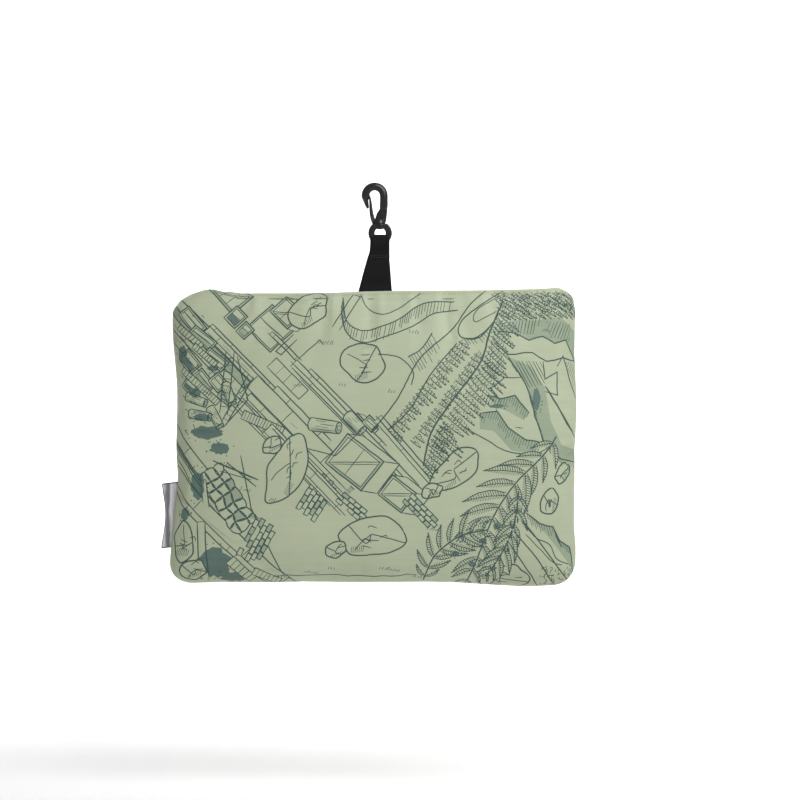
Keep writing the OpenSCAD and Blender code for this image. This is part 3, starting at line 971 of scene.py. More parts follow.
    def fern(self, points, leaf, count, tilt=52):
        """A frond: a stem through the points, with paired leaflets."""
        stem = self.curve(points, 0.95)
        lengths = np.concatenate([[0], np.cumsum(np.abs(np.diff(np.array(stem))))])
        for k in range(count):
            t = (k + 0.5) / count
            i = int(np.searchsorted(lengths, lengths[-1] * t))
            i = min(max(i, 1), len(stem) - 2)
            heading = math.degrees(cmath.phase(stem[i + 1] - stem[i - 1]))
            reach = leaf * math.sin(math.pi * (0.12 + 0.84 * t)) ** 0.8
            for side in (-1, 1):
                turn = heading + side * self.near(tilt, 6)
                self.leaflet(stem[i].real, stem[i].imag, turn, reach * self.near(1, 0.12), side)

    @motif
    def leaflet(self, length, side):
        """A pointed leaflet: a spine, one firm edge, and combs of strokes that lean towards the tip."""
        half = 0.1 * length + 0.7
        heavy = 0.8

        def spine(t):
            return complex(length * t, -side * 0.16 * length * t * t)

        def width(t):
            return half * math.sin(math.pi * min(1, t + 0.08)) ** 0.7

        self.blank([spine(t) + 1j * edge * width(t) for edge, t in
                    ((-side, 0.15), (-side, 0.5), (-side, 0.85), (side, 0.85), (side, 0.5), (side, 0.15))])
        self.curve([spine(t) for t in (0, 0.35, 0.7, 1)], 0.6)
        self.curve([spine(t) + 1j * side * width(min(t, 0.9)) for t in (0, 0.3, 0.65, 0.9)] + [spine(1)], 0.6)
        steps = max(3, int(length / 1.35))
        for k in range(1, steps):
            t = k / steps
            p = spine(t)
            out = side * width(t)
            self.dash(p + 0.1j * side * width(t), p + complex(1.1, out * 0.95), self.near(heavy, 0.15))
            if k % 2 or length > 10:
                self.dash(p - 0.15j * side * width(t), p + complex(1.0, -out * 0.75), heavy * 0.75)

    def hatch(self, path, direction, length, spacing, width):
        """Short strokes that hang from a smooth path."""
        points = self.curve(path, 0.8)
        walked = 0.0
        for a, b in zip(points, points[1:]):
            walked += abs(b - a)
            if walked >= spacing:
                walked = 0.0
                self.dash(a, a + direction * length * self.near(1, 0.3), width)

    def ridge(self, points, foot, lean=-0.35, strokes=True):
        """A rocky crest whose shadow side is tinted down to foot and hatched."""
        self.line(points, 0.85, 0.5)
        self.patch(points + foot)
        if strokes:
            for a, b in zip(points, points[1:]):
                count = max(1, round(abs(b - a) / 1.6))
                for k in range(count):
                    p = a + (b - a) * (k + 0.5) / count
                    self.dash(p, p + complex(lean, -1) * self.near(4.6, 1.8), 0.55)

    def fill_hatch(self, corners, angle, spacing):
        """Strokes at one angle that fill a convex patch."""
        turn = ray(1, -angle)
        turned = [p * turn for p in corners]
        z = min(p.imag for p in turned) + spacing / 2
        while z < max(p.imag for p in turned):
            cuts = []
            for a, b in zip(turned, turned[1:] + turned[:1]):
                if (a.imag - z) * (b.imag - z) < 0:
                    cuts.append(a.real + (b.real - a.real) * (z - a.imag) / (b.imag - a.imag))
            if len(cuts) >= 2:
                ends = (min(cuts) + self.near(0.3, 0.3), max(cuts) - self.near(0.6, 0.6))
                self.line([complex(x, z) * turn.conjugate() for x in ends], 0.55, 0.08)
            z += self.near(spacing, spacing * 0.2)

    def grass(self, x, z, count, degrees):
        for k in range(count):
            foot = complex(x + k * 1.5, z - k * 0.25)
            self.dash(foot, foot + ray(2.1 * self.near(1, 0.35), self.near(degrees, 16)), 0.65)

    def blot(self, x, z, w, h, specks=6):
        """A ragged dark patch of undergrowth or shadow, with specks round it."""
        count = 26
        rim = []
        for k in range(count):
            a = 2 * math.pi * k / count
            rim.append(complex(x + w / 2 * math.cos(a) * self.near(0.84, 0.16),
                               z + h / 2 * math.sin(a) * self.near(0.84, 0.16)))
        self.patch(rim, DARK)
        for k in range(specks):
            a = self.near(math.pi, math.pi)
            p = complex(x + w * 0.56 * math.cos(a), z + h * 0.56 * math.sin(a))
            self.dash(p, p + cmath.rect(0.9, a), 0.9)

    def rungs(self, a, b, width, count, heavy):
        """A ladder between two points."""
        side = (b - a) / abs(b - a) * 1j * width / 2
        self.line([a + side, b + side], 0.8)
        self.line([a - side, b - side], 0.8)
        for k in range(1, count):
            p = a + (b - a) * k / count
            self.dash(p + side * 0.9, p - side * 0.9, heavy)


def draw_left(art, slant):
    # Boards across the left half, with crates standing on them.
    art.planks(-113, 84, slant, 152, [5.6, 5.0, 6.2, 5.4], 19, TINTED)
    art.crate(-95, 86, slant, 20, 16, 1.6, 3)
    art.frame(-73, 64, slant, 20, 20)
    art.crate(-60, 74, slant, 15, 13, 1.3, 2, 5)
    art.planks(-92, 66, slant, 96, [2.0, 3.6, 2.0], 13, None, 0.3)
    art.planks(-58, 62, slant, 24, [2.4], 9)
    art.frame(-86, 70, slant, 9, 10, DARK)
    art.frame(-79, 62, slant, 7, 8, TINTED)
    art.louvre(-61, 41, slant, 26, 7.5, 4, 0.6)
    art.planks(-55, 30, slant, 44, [8.5, 2.0], 24, None, 0.1)
    art.crate(-16, 8, slant, 11, 9, 1.1, 2, 4)
    art.planks(-36, 40, slant, 62, [8.5], 30, None, 0.1)
    art.planks(-44, 45, slant, 100, [3.0, 2.2], 31)
    art.line([-44 + 45j, -31 + 57j, -29 + 54j], 0.7)
    art.planks(-66, 36, slant, 82, [9.5, 2.6, 3.4], 46, None, 0.1)
    art.louvre(-73, 23, slant, 34, 4.0, 3, 0.75)
    art.louvre(-78, 18, slant, 30, 4.4, 3, 0.75)
    art.louvre(-76, 11, slant + 22, 25, 5.4, 15, 0.75)
    art.log(-36, 8, -8, 16, 3.8)
    art.log(-15, 13, slant, 12, 3.4)
    art.frame(-7, 9, slant, 8, 6)
    art.crate(-28, -14, slant + 8, 26, 21, 1.5, 2, 8)
    art.crate(2, -32, slant + 8, 17, 14, 1.3, 1, 7)
    art.planks(4, 13, slant - 3, 52, [2.6, 2.4], 30)
    art.line([-46 - 4j, -22 - 10j, -6 + 6j], 0.7)
    # A jumble of frames, logs and ladders at the left edge.
    for k, (x, z, w, h) in enumerate((
        (-112, 72, 17, 8), (-106, 60, 16, 7), (-113, 46, 12, 9), (-98, 47, 14, 7),
        (-104, 36, 13, 7), (-112, 30, 9, 7), (-95, 33, 9, 8), (-90, 24, 10, 6),
    )):
        art.frame(x, z, slant - 6 + 12 * (k % 2), w, h, k % 3)
    for x, z, w, h, count in ((-113, 63, 18, 4, 8), (-104, 52, 17, 3.6, 9),
                              (-112, 38, 16, 4, 7), (-101, 28, 14, 4, 8)):
        art.louvre(x, z, slant + 4, w, h, count, 0.8)
    for x, z, turn in ((-108, 24, -20), (-94, 17, -60), (-106, 14, -10), (-85, 31, -70)):
        art.log(x, z, turn, 12, 2.7)
    art.rungs(-82 + 50j, -86 + 14j, 4.6, 9, 0.75)
    art.rungs(-70 + 36j, -86 + 8j, 3.2, 11, 0.6)
    art.line([-78 + 47j, -72 + 22j, -86 + 6j], 0.8)
    for x, z, w, h in ((-96, 3, 22, 9), (-88, -6, 14, 8), (-110, 48, 7, 13),
                       (-103, 26, 9, 6), (-92, 40, 8, 4), (-99, 12, 12, 5)):
        art.blot(x, z, w, h)
    for _ in range(30):
        p = complex(art.near(-100, 13), art.near(38, 34))
        art.dash(p, p + ray(art.near(3, 1.2), slant + art.near(0, 20)), 0.8)
    # Lower left: boards, cobbles between them, undergrowth.
    art.planks(-117, 8, -50, 66, [6.4, 1.5, 1.3, 3.6], 24, DARK)
    art.planks(-117, -16, -44, 104, [8.5, 3.4], 34)
    art.cobbles(-100, -22, -58, 40, 15, 5.8)
    art.planks(-96, -24, -82, 16, [3.2], 30)
    art.planks(-96, -48, -86, 34, [4.4], 60)
    art.line([-76 - 10j, -70 - 40j, -52 - 80j], 0.8)
    art.line([-92 - 13j, -66 - 24j], 1.1)
    art.line([-84 - 14j, -67 - 28j], 0.9)
    art.line([-88 - 19j, -70 - 24j], 0.6)
    for x, z, w, h in ((-101, -27, 10, 19), (-90, -72, 22, 20), (-80, -81, 18, 9), (-108, -44, 6, 10)):
        art.blot(x, z, w, h, 12)
    art.louvre(-84, -72, -46, 18, 6, 6)
    art.louvre(-70, -79, -30, 17, 5, 7, 0.7)
    art.bricks(-67, -74, 62, 5, 5)
    art.bricks(-34, -48, 58, 5, 5)
    art.planks(-58, 8, slant, 66, [1.8, 4.6, 1.6], 17, None, 0.2)
    art.bricks(16, -36, -46, 3, 5, 4.2, 2.5)
    art.bricks(-22, -36, -40, 3, 4, 4.2, 2.5)


def draw_ground(art):
    # Boulders on the open ground, and tufts of grass.
    for x, z, turn, w, h, cracks in (
        (-108, -60, 0, 13, 22, 4), (-102, -76, 20, 14, 12, 2), (-6, 43, 20, 24, 24, 4),
        (-50, -18, 66, 40, 20, 6), (-58, -4, 30, 12, 9, 1), (-1, -56, 8, 40, 22, 6),
        (-22, -64, 20, 13, 9, 1), (46, -18, 40, 34, 17, 5), (33, -30, 20, 12, 8, 1),
        (-38, 74, 40, 26, 17, 5), (100, -36, 80, 16, 10, 2), (108, -20, 60, 12, 8, 1),
        (74, -80, 10, 30, 15, 4),
    ):
        art.boulder(x, z, turn, w, h, cracks)
    art.line([-24 + 64j, -12 + 84j, -8 + 82j, -20 + 62j])
    art.line([-46 + 60j, -56 + 50j, -53 + 48j, -44 + 57j])
    for x, z, count, degrees in (
        (-33, 55, 7, 60), (20, 60, 4, 75), (3, -76, 8, 50), (-56, -82, 6, 110), (-76, -30, 4, 55),
        (-70, -46, 4, 55), (36, 42, 3, 80), (-26, -76, 3, 90), (96, 60, 3, 30), (80, 6, 3, 10),
        (-86, -16, 3, 60), (-60, -36, 3, 50), (-20, 30, 3, 70), (8, 26, 3, 60), (30, -52, 4, 40),
        (-40, -78, 5, 20), (22, -82, 5, 70), (-46, 30, 3, 40),
    ):
        art.grass(x, z, count, degrees)
    art.line([-58 - 81j, -30 - 80j, -81j, 24 - 80j], 0.7, 0.4)


def draw_hills(art):
    # Hills with contour bands at the top.
    art.hatch([-18 + 82j, -16 + 68j, -8 + 62j, 4 + 64j, 14 + 68j, 28 + 77j, 46 + 78j],
              -0.2 - 1j, 6.5, 1.5, 0.7)
    art.curve([-19 + 74j, -16 + 61j, -7 + 55j, 6 + 58j, 20 + 63j, 34 + 71j, 48 + 73j], 0.8)
    art.curve([-8 + 84j, -4 + 75j, 5 + 71j, 15 + 75j, 27 + 84j], 0.7)
    art.curve([64 + 85j, 54 + 75j, 47 + 65j, 40 + 58j, 25 + 44j, 13 + 22j, -2 + 3j], 0.85)
    art.curve([74 + 85j, 63 + 77j, 50 + 67j, 49 + 58j, 60 + 57j, 70 + 68j], 0.85)
    art.curve([70 + 80j, 58 + 72j, 58 + 66j, 70 + 72j], 0.6)
    art.hatch([19 + 46j, 27 + 51j, 33 + 60j], 0.5 - 0.9j, 8, 1.6, 0.65)
    art.hatch([50 + 57j, 58 + 57j, 66 + 63j, 71 + 70j], 0.6 - 0.8j, 5, 1.4, 0.65)
    art.curve([2 + 48j, 14 + 46j, 22 + 38j, 21 + 30j])
    # Forest on the slopes.
    for start, end, angle, height, spacing, half in (
        (49 + 56j, 8 + 6j, -50, 12, 3.0, 1.7), (58 + 49j, 22 + 0j, -46, 9, 3.2, 1.6),
        (72 + 72j, 62 + 42j, -48, 19, 3.0, 1.7), (64 + 44j, 31 - 2j, -46, 22, 3.1, 1.8),
        (38 + 8j, 28 - 16j, -46, 12, 3.0, 1.6),
    ):
        art.conifers(start, end, angle, height, spacing, half)
    art.curve([74 + 78j, 66 + 60j, 60 + 42j, 42 + 18j, 32 + 2j, 28 - 16j], 1.15)
    art.curve([47 + 54j, 32 + 36j, 20 + 16j, 8 + 5j], 0.8)
    for row in range(4):
        start = complex(68 + row * 1.5, 84 - row * 4.2)
        art.conifers(start, complex(113, 82 - row * 3.4), -44, 9.0, 3.4, 1.4)


def draw_crags(art):
    art.fill_hatch([78 + 66j, 96 + 70j, 92 + 58j, 82 + 58j], 78, 1.8)
    art.fill_hatch([98 + 66j, 114 + 64j, 113 + 54j, 100 + 56j], 66, 1.8)
    art.ridge([70 + 60j, 80 + 59j, 88 + 55j, 96 + 57j, 103 + 53j, 110 + 55j, 117 + 42j],
              [117 + 60j, 106 + 68j, 92 + 66j, 80 + 67j], 0.1, False)
    art.line([68 + 54j, 76 + 47j, 90 + 48j, 98 + 43j, 108 + 45j, 117 + 43j], 0.85, 0.4)
    art.ridge([76 + 46j, 84 + 34j, 88 + 25j, 91 + 12j, 96 - 2j, 107 - 12j, 117 - 14j],
              [117 - 7j, 107 - 4j, 100 + 10j, 97 + 28j, 89 + 40j], 0.5)
    art.fill_hatch([80 + 44j, 96 + 43j, 97 + 30j, 88 + 27j], -62, 1.7)
    art.line([96 + 43j, 97 + 33j, 104 + 37j, 104 + 24j, 97 + 26j], 0.8)
    art.line([97 + 29j, 104 + 18j, 110 + 8j, 117 + 0j], 1.1)
    art.line([99 + 26j, 106 + 15j, 114 + 3j], 0.8)
    art.line([104 + 40j, 108 + 46j, 112 + 34j, 117 + 22j], 0.85)
    art.fill_hatch([108 + 44j, 117 + 42j, 117 + 26j], 60, 1.6)
    art.line([84 + 34j, 74 + 34j, 66 + 28j, 72 + 20j], 0.7, 0.5)
    art.ridge([60 + 14j, 70 + 15j, 76 + 6j, 86 - 1j, 97 - 3j], [90 - 9j, 78 - 7j, 68 + 4j, 60 + 5j])
    art.ridge([64 + 24j, 72 + 22j, 80 + 24j, 88 + 14j], [85 + 10j, 76 + 15j, 70 + 17j])
    art.line([52 + 6j, 62 + 0j, 74 - 7j, 90 - 10j, 98 - 6j], 0.75, 0.5)
    art.blot(92, 22, 5, 16, 4)
    art.blot(70, 18, 9, 3, 4)


def draw_ferns(art):
    art.fern([104 + 1j, 96 - 10j, 80 - 26j, 68 - 44j, 61 - 62j, 52 - 86j], 25, 13)
    art.fern([82 - 30j, 80 - 46j, 74 - 62j, 62 - 82j], 15, 8, 42)
    art.fern([28 - 84j, 34 - 68j, 48 - 56j, 64 - 52j], 16, 8, 55)
    for points in ([84 - 46j, 96 - 61j, 108 - 77j, 114 - 84j], [79 - 52j, 93 - 68j, 104 - 85j],
                   [76 - 58j, 90 - 78j, 94 - 86j]):
        art.line(points, 0.85)
    art.ridge([86 - 42j, 94 - 48j, 102 - 50j, 106 - 58j, 112 - 62j, 115 - 76j], [106 - 64j, 98 - 54j], 0.3)
    art.curve([84 - 47j, 92 - 56j, 100 - 60j, 104 - 68j, 112 - 72j], 0.7)
    art.curve([86 - 54j, 96 - 64j, 102 - 70j, 108 - 72j], 0.6)
    for _ in range(60):
        p = complex(art.near(104, 9), art.near(-79, 6))
        art.dash(p, p + cmath.rect(1.7, art.near(0.8, 0.9)), 0.75)
    for x, z in ((62, -58), (70, -50), (56, -72), (46, -66)):
        art.blot(x, z, 5, 4, 3)


def draw_print(seed, half_turn=False):
    """The whole drawing; half_turn gives the back another part of the same cloth."""
    art = Print(seed)
    draw_left(art, -46)
    draw_ground(art)
    draw_hills(art)
    draw_crags(art)
    draw_ferns(art)
    if half_turn:
        art.marks = [([-p for p in points], width, tone) for points, width, tone in art.marks]
    return art


# ---- From the drawing to a mesh ----

def flat_outline(step=2.0):
    """The panel's cut edge in millimetres, anticlockwise from the right side's foot."""
    cx, cv, r = CENTRE_X / MM, CENTRE_V / MM, WRAP / MM
    points = []
    steps = 12
    for sx, sv, start in ((1, -1, -90), (1, 1, 0), (-1, 1, 90), (-1, -1, 180)):
        for k in range(steps + 1):
            a = math.radians(start + 90 * k / steps)
            points.append((sx * cx + r * math.cos(a), sv * cv + r * math.sin(a)))
    out = []
    for a, b in zip(points, points[1:] + points[:1]):
        parts = max(1, round(math.dist(a, b) / step))
        for k in range(parts):
            out.append((a[0] + (b[0] - a[0]) * k / parts, a[1] + (b[1] - a[1]) * k / parts))
    return out


def ribbon(points, width):
    """Quads of a stroke that tapers a little at its two ends."""
    pts = [points[0]]
    for p in points[1:]:
        if abs(p - pts[-1]) > 0.12:
            pts.append(p)
    if len(pts) < 2:
        return []
    left, right = [], []
    for i, p in enumerate(pts):
        before = pts[i] - pts[i - 1] if i else pts[1] - pts[0]
        after = pts[i + 1] - pts[i] if i + 1 < len(pts) else before
        a = before / abs(before)
        b = after / abs(after)
        along = a + b
        if abs(along) < 0.3:
            along = a
        along /= abs(along)
        stretch = 1 / max(0.6, (along * a.conjugate()).real)
        half = width / 2 * (0.62 if i in (0, len(pts) - 1) else 1)
        left.append(p + 1j * along * half * stretch)
        right.append(p - 1j * along * half * stretch)
    quads = []
    for i in range(len(pts) - 1):
        quad = (left[i], right[i], right[i + 1], left[i + 1])
        if not convex(quad):
            side = (pts[i + 1] - pts[i]) / abs(pts[i + 1] - pts[i]) * 1j * width / 2
            quad = (pts[i] + side, pts[i] - side, pts[i + 1] - side, pts[i + 1] + side)
        quads.append(quad)
    return quads


def cross(a, b):
    """The cross product of two flat vectors."""
    return a.real * b.imag - a.imag * b.real


def convex(points):
    """True for a polygon that turns left at every corner, and by a clear amount."""
    count = len(points)
    sides = [points[(k + 1) % count] - points[k] for k in range(count)]
    return all(cross(sides[k - 1], sides[k]) > 1e-3 for k in range(count))


def holds(points, p):
    """True where an anticlockwise convex polygon holds p."""
    return all(cross(b - a, p - a) > -1e-6 for a, b in zip(points, [*points[1:], points[0]]))


def triangles_of(points):
    """A patch as triangles, each anticlockwise and not a sliver."""
    out = []
    for corners in tessellate_polygon([[Vector((p.real, p.imag, 0)) for p in points]]):
        a, b, c = (points[k] for k in corners)
        area = cross(b - a, c - a)
        if abs(area) > 0.02:
            out.append((a, b, c) if area > 0 else (a, c, b))
    return out


PRESS = 0.88                              # a stroke's width on the cloth, as a share of the drawing's


def cut_panel(art, spacing=2.2):
    """Triangles of the flat panel, cut along every stroke and patch, and each triangle's tone."""
    coords, faces, tones, shapes = [], [], [], []

    def add_face(points, tone):
        faces.append(list(range(len(coords), len(coords) + len(points))))
        coords.extend((p.real, p.imag) for p in points)
        tones.append(tone)
        shapes.append(points)

    add_face([complex(*p) for p in flat_outline()], (-1, -1))
    for number, (points, width, tone) in enumerate(art.marks):
        for shape in ribbon(points, PRESS * width) if width else triangles_of(points):
            add_face(shape, (number, tone))
    hu, hv, r = HALF_U / MM, HALF_V / MM, WRAP / MM
    columns = round(2 * hu / spacing)
    rows = round(2 * hv / spacing)
    for i in range(1, columns):
        for j in range(1, rows):
            x = -hu + 2 * hu * (i + 0.5 * (j % 2)) / columns
            z = -hv + 2 * hv * j / rows
            qx = max(abs(x) - CENTRE_X / MM, 0)
            qz = max(abs(z) - CENTRE_V / MM, 0)
            if math.hypot(qx, qz) < r - 0.7:
                coords.append((x, z))
    cut = delaunay_2d_cdt([Vector(c) for c in coords], [], faces, 1, 1e-4, True)
    verts, _, triangles, _, _, origins = cut
    kept, tone_of = [], []
    for triangle, origin in zip(triangles, origins):
        middle = sum(complex(*verts[k]) for k in triangle) / 3
        marks = [tones[k] for k in origin if k == 0 or holds(shapes[k], middle)]
        if (-1, -1) in marks:
            rubbed = max((number for number, tone in marks if tone == 0), default=-1)
            kept.append(triangle)
            tone_of.append(max((tone for number, tone in marks if number > rubbed), default=0))
    return np.array([(v[0], v[1]) for v in verts]), kept, tone_of


TONES = [NYLON, TINT, DEEP, INK]
# The rows of the turned-in edge: how far in from the edge, and how far towards the zip, in mm.
HEM = ((0, 0), (0.35, 0.25), (1.2, 0.45), (2.6, 0.45), (4.6, 0.45))


def add_panel(name, node, side, art):
    """Lays the cut panel on the finished cloth, and turns its edge in."""
    flat, triangles, tones = cut_panel(art)
    u = flat[:, 0] * MM
    v = flat[:, 1] * MM
    points = cloth(u, v, side)
    normals = cloth_normal(u, v, side)
    if side > 0:
        triangles = [t[::-1] for t in triangles]
    verts = [tuple(p) for p in points]
    # The edge turns in behind the seam, or down beside the zip.
    rim = np.array(flat_outline()) * MM
    ru, rv = rim[:, 0], rim[:, 1]
    edge = cloth(ru, rv, side)
    top = np.clip((rv - CENTRE_V) / WRAP, 0, 1) ** 2
    top = top * np.clip((HALF_W - 6 * MM - np.abs(ru)) / (8 * MM), 0, 1)
    in_x = -np.sign(ru) * np.clip((np.abs(ru) - CENTRE_X) / WRAP, 0, 1)
    in_z = -np.sign(rv) * np.clip((np.abs(rv) - CENTRE_V) / WRAP, 0, 1)
    inward = np.stack([in_x, np.zeros(len(rim)), in_z], axis=-1)
    base = len(verts)
    for depth, tuck in HEM:
        row = edge + inward * depth * MM
        row[:, 1] += np.where(top > 0, -side * tuck * MM * top, side * 0.02 * MM)
        verts.extend(tuple(p) for p in row)
    count = len(rim)
    hem_faces = []
    for r in range(len(HEM) - 1):
        for k in range(count):
            n = (k + 1) % count
            quad = (base + r * count + k, base + (r + 1) * count + k,
                    base + (r + 1) * count + n, base + r * count + n)
            hem_faces.append(quad if side < 0 else quad[::-1])
    panel = mesh_object(name, verts, list(triangles) + hem_faces, TONES)
    slots = list(tones) + [0] * len(hem_faces)
    panel.data.polygons.foreach_set("material_index", slots[:len(panel.data.polygons)])
    custom = np.zeros((len(verts), 3))
    custom[:len(normals)] = normals
    panel.data.normals_split_custom_set_from_vertices([tuple(n) for n in custom])
    enter(panel, "pouch", node)


add_panel("front_panel", "pouch_front_panel", -1, draw_print(7))
add_panel("back_panel", "pouch_back_panel", 1, draw_print(23, half_turn=True))


# ================= Hook, gate and ring =================

for name, node, swell in (("hook", "snap_hook", 0.36), ("ring", "swivel_ring", 0.48)):
    piece = moulded(name, node, 0.2 * MM, 5, PLASTIC, swell * MM)
    if name == "hook":
        # The bow rises a little more than its solid, and the base narrows towards the stem.
        for vert in piece.data.vertices:
            x, z = vert.co.x / MM, vert.co.z / MM
            slim = 1 - 0.17 * min(max((-5 - z) / 9, 0), 1)
            vert.co.x = (2.35 + (x - 2.35) * slim) * MM
            vert.co.z = (z + 0.85 * min(max((z + 9) / 13, 0), 1)) * MM
    enter(piece, name, node)


def gate_spring():
    """The gate: a tongue that tapers from the base up to behind the hook's nose."""
    # Height, x of the outer face, x of the inner face and half thickness in y, in millimetres.
    rows = [(-15.4, -1.3, 0.2, 1.0), (-14.4, -1.9, 0.7, 1.3), (-12.6, -2.45, 0.35, 1.4),
            (-10.4, -2.85, -0.35, 1.4), (-8.1, -3.1, -0.85, 1.35), (-6.0, -3.15, -1.15, 1.3),
            (-4.0, -3.15, -1.4, 1.25), (-2.0, -3.25, -1.7, 1.15), (0, -3.35, -2.2, 1.0),
            (1.0, -3.3, -2.6, 0.8), (1.4, -3.2, -2.85, 0.5)]
    fine = smooth_rows(rows)
    sides = 16
    verts = []
    for z, x0, x1, half in fine:
        for k in range(sides):
            a = 2 * math.pi * k / sides
            c, s = math.cos(a), math.sin(a)
            # A rounded rectangle in x and y.
            px = math.copysign(abs(c) ** 0.6, c)
            py = math.copysign(abs(s) ** 0.6, s)
            verts.append((((x0 + x1) / 2 + (x1 - x0) / 2 * px) * MM, half * py * MM, z * MM))
    return verts, closed_faces(len(fine), sides)


enter(mesh_object("gate", *gate_spring(), [PLASTIC]), "gate", "hook_gate")


# ================= The strap =================
# Webbing folded round the ring's bar: a loop over the bar, and a tail down into the pouch.
# The two overlap at the line of stitches.

bar = Vector(JOINTS["strap_hinge"]["pos_m"])
PLY = 0.82 * MM

# The strap's left and right edges at each height, in millimetres.
STRAP_Z = [-54.9, -42, -36, -33, -30, -26]
STRAP_LEFT = [-9.3, -5.9, -4.2, -3.0, -2.4, -2.2]
STRAP_RIGHT = [9.9, 8.9, 8.4, 8.3, 8.3, 8.3]


def strap_edges(z):
    return np.interp(z, STRAP_Z, STRAP_LEFT), np.interp(z, STRAP_Z, STRAP_RIGHT)


def band(rows, thickness, columns=10):
    """A closed strip: rows of (x0, x1, y, z) in millimetres along its path, with rounded edges."""
    verts = []
    for i, (x0, x1, y, z) in enumerate(rows):
        before = rows[max(i - 1, 0)]
        after = rows[min(i + 1, len(rows) - 1)]
        along = Vector((0, after[2] - before[2], after[3] - before[3])).normalized()
        normal = Vector((0, -along.z, along.y)) * thickness / 2
        middle = Vector((0, y, z)) * MM
        section = [(k / columns, 1) for k in range(columns + 1)] + [(1, 0)]
        section += [(1 - k / columns, -1) for k in range(columns + 1)] + [(0, 0)]
        for t, lift in section:
            edge = thickness / 2 * (1 - abs(lift)) * (1 if t > 0.5 else -1)
            plump = 1 + 0.16 * math.exp(-((min(t, 1 - t) - 0.07) / 0.05) ** 2)
            verts.append(middle + Vector(((x0 + (x1 - x0) * t) * MM + edge, 0, 0)) + normal * lift * plump)
    return verts, closed_faces(len(rows), len(section))


def strap_loop():
    """Up the front ply, narrow over the bar, and down the back ply."""
    mid, top = bar.x / MM, bar.z / MM
    drawn_top = -24.2                     # the bar's axis in the rows below
    # y, z, and half of the width where it is narrower than the strap's edges.
    half = [(-0.5, -35.6, 0), (-0.5, -34, 0), (-0.62, -32.4, 0), (-1.05, -30.8, 0), (-1.65, -29, 0),
            (-2.15, -27.2, 0), (-2.4, -25.6, 0), (-2.42, -24.2, 0), (-2.38, -23.3, 4.9), (-2.2, -22.7, 4.0),
            (-1.6, -22.22, 2.9), (-0.8, -22.05, 2.8)]
    rows = []
    for y, z, reach in half:
        left, right = strap_edges(z)
        z = z if z < top - 4 else z - (drawn_top - top)
        rows.append((mid - reach, mid + reach, y, z) if reach else (left, right, y, z))
    back = [(x0, x1, -y, z) for x0, x1, y, z in reversed(rows)]
    return band(smooth_rows(rows + [(mid - 2.8, mid + 2.8, 0, rows[-1][3] + 0.02)] + back), PLY)


def strap_tail():
    """Both plies, from under the loop's ends down into the pouch's back seam."""
    high, low, count = -33.2, -63.0, 24
    parts = []
    for side in (-1, 1):
        rows = []
        for k in range(count + 1):
            z = high + (low - high) * k / count
            left, right = strap_edges(z)
            dive = min(max((-49.5 - z) / 6, 0), 1)
            rows.append((left + 0.12, right - 0.12, side * 0.4 - 1.9 * dive * dive * (3 - 2 * dive), z))
        parts.append(band(rows, PLY * 0.96))
    return joined(parts)


def stitches(name, points, normals, radius, material):
    """Separate stitches: each sinks into the cloth at both ends."""
    parts = []
    for (a, b), normal in zip(points, normals):
        a, b, normal = Vector(a), Vector(b), Vector(normal)
        path = [a.lerp(b, t) + normal * lift * radius for t, lift in
                ((0, -1.4), (0.12, 0.2), (0.35, 0.75), (0.65, 0.75), (0.88, 0.2), (1, -1.4))]
        parts.append(tube(path, radius, 6))
    return mesh_object(name, *joined(parts), [material])


def strap_stitches():
    """Two rows of thread through the loop's ends, on both faces."""
    count, length, y = 6, 1.25, 0.93
    ends, normals = [], []
    for side in (-1, 1):
        for z in (-34.0, -35.1):
            left, right = strap_edges(z)
            for k in range(count):
                x = left + 0.9 + (right - left - 1.8) * (k + 0.1) / count
                ends.append([(x * MM, side * y * MM, z * MM) for x in (x, x + length)])
                normals.append((0, side, 0))
    return stitches("strap_stitches", ends, normals, 0.17 * MM, BLACK_THREAD)


loop = mesh_object("strap_loop", *strap_loop(), [WEBBING])
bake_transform(loop)
tail = mesh_object("strap_tail", *strap_tail(), [WEBBING])
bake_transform(tail)
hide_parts("hook_strap", "strap_end")
enter(strap_stitches(), "strap", "strap_stitching")


# ================= The zip =================

def zip_tape(side):
    """Woven tape from the coil to under the folded edge, a little wavy."""
    columns, count = 9, 90
    left, length, level, half_ply = -101.6, 203.2, -59.62, 0.26
    verts = []
    for i in range(count + 1):
        x = left + length * i / count
        for layer in (0, 1):
            for k in range(columns + 1):
                t = (k if layer else columns - k) / columns
                out = 0.75 + 5.5 * t
                wave = 0.16 * math.sin(x / 7.3 + side) * t + 0.1 * math.sin(x / 3.1) * t
                z = level + wave + 0.5 * t * t + (half_ply if layer else -half_ply)
                verts.append((x * MM, MID_Y + side * out * MM, z * MM))
    faces = closed_faces(count + 1, 2 * (columns + 1))
    return verts, [f[::-1] for f in faces] if side < 0 else faces


def zip_coil(side):
    """A real coil: a wire that winds along the tape's edge and meets its partner in the middle."""
    turns, steps = 132, 12
    length = coil_hi[0] - coil_lo[0] - MM
    path = []
    for k in range(turns * steps + 1):
        a = 2 * math.pi * k / steps
        x = coil_lo[0] + 0.5 * MM + length * (k / steps + (0.5 if side > 0 else 0)) / (turns + 0.5)
        y = MID_Y + side * (1.15 + 1.25 * math.cos(a)) * MM
        path.append((x, y, (coil_lo[2] + coil_hi[2]) / 2 + 0.52 * MM * math.sin(a)))
    return tube(path, 0.29 * MM, 6)


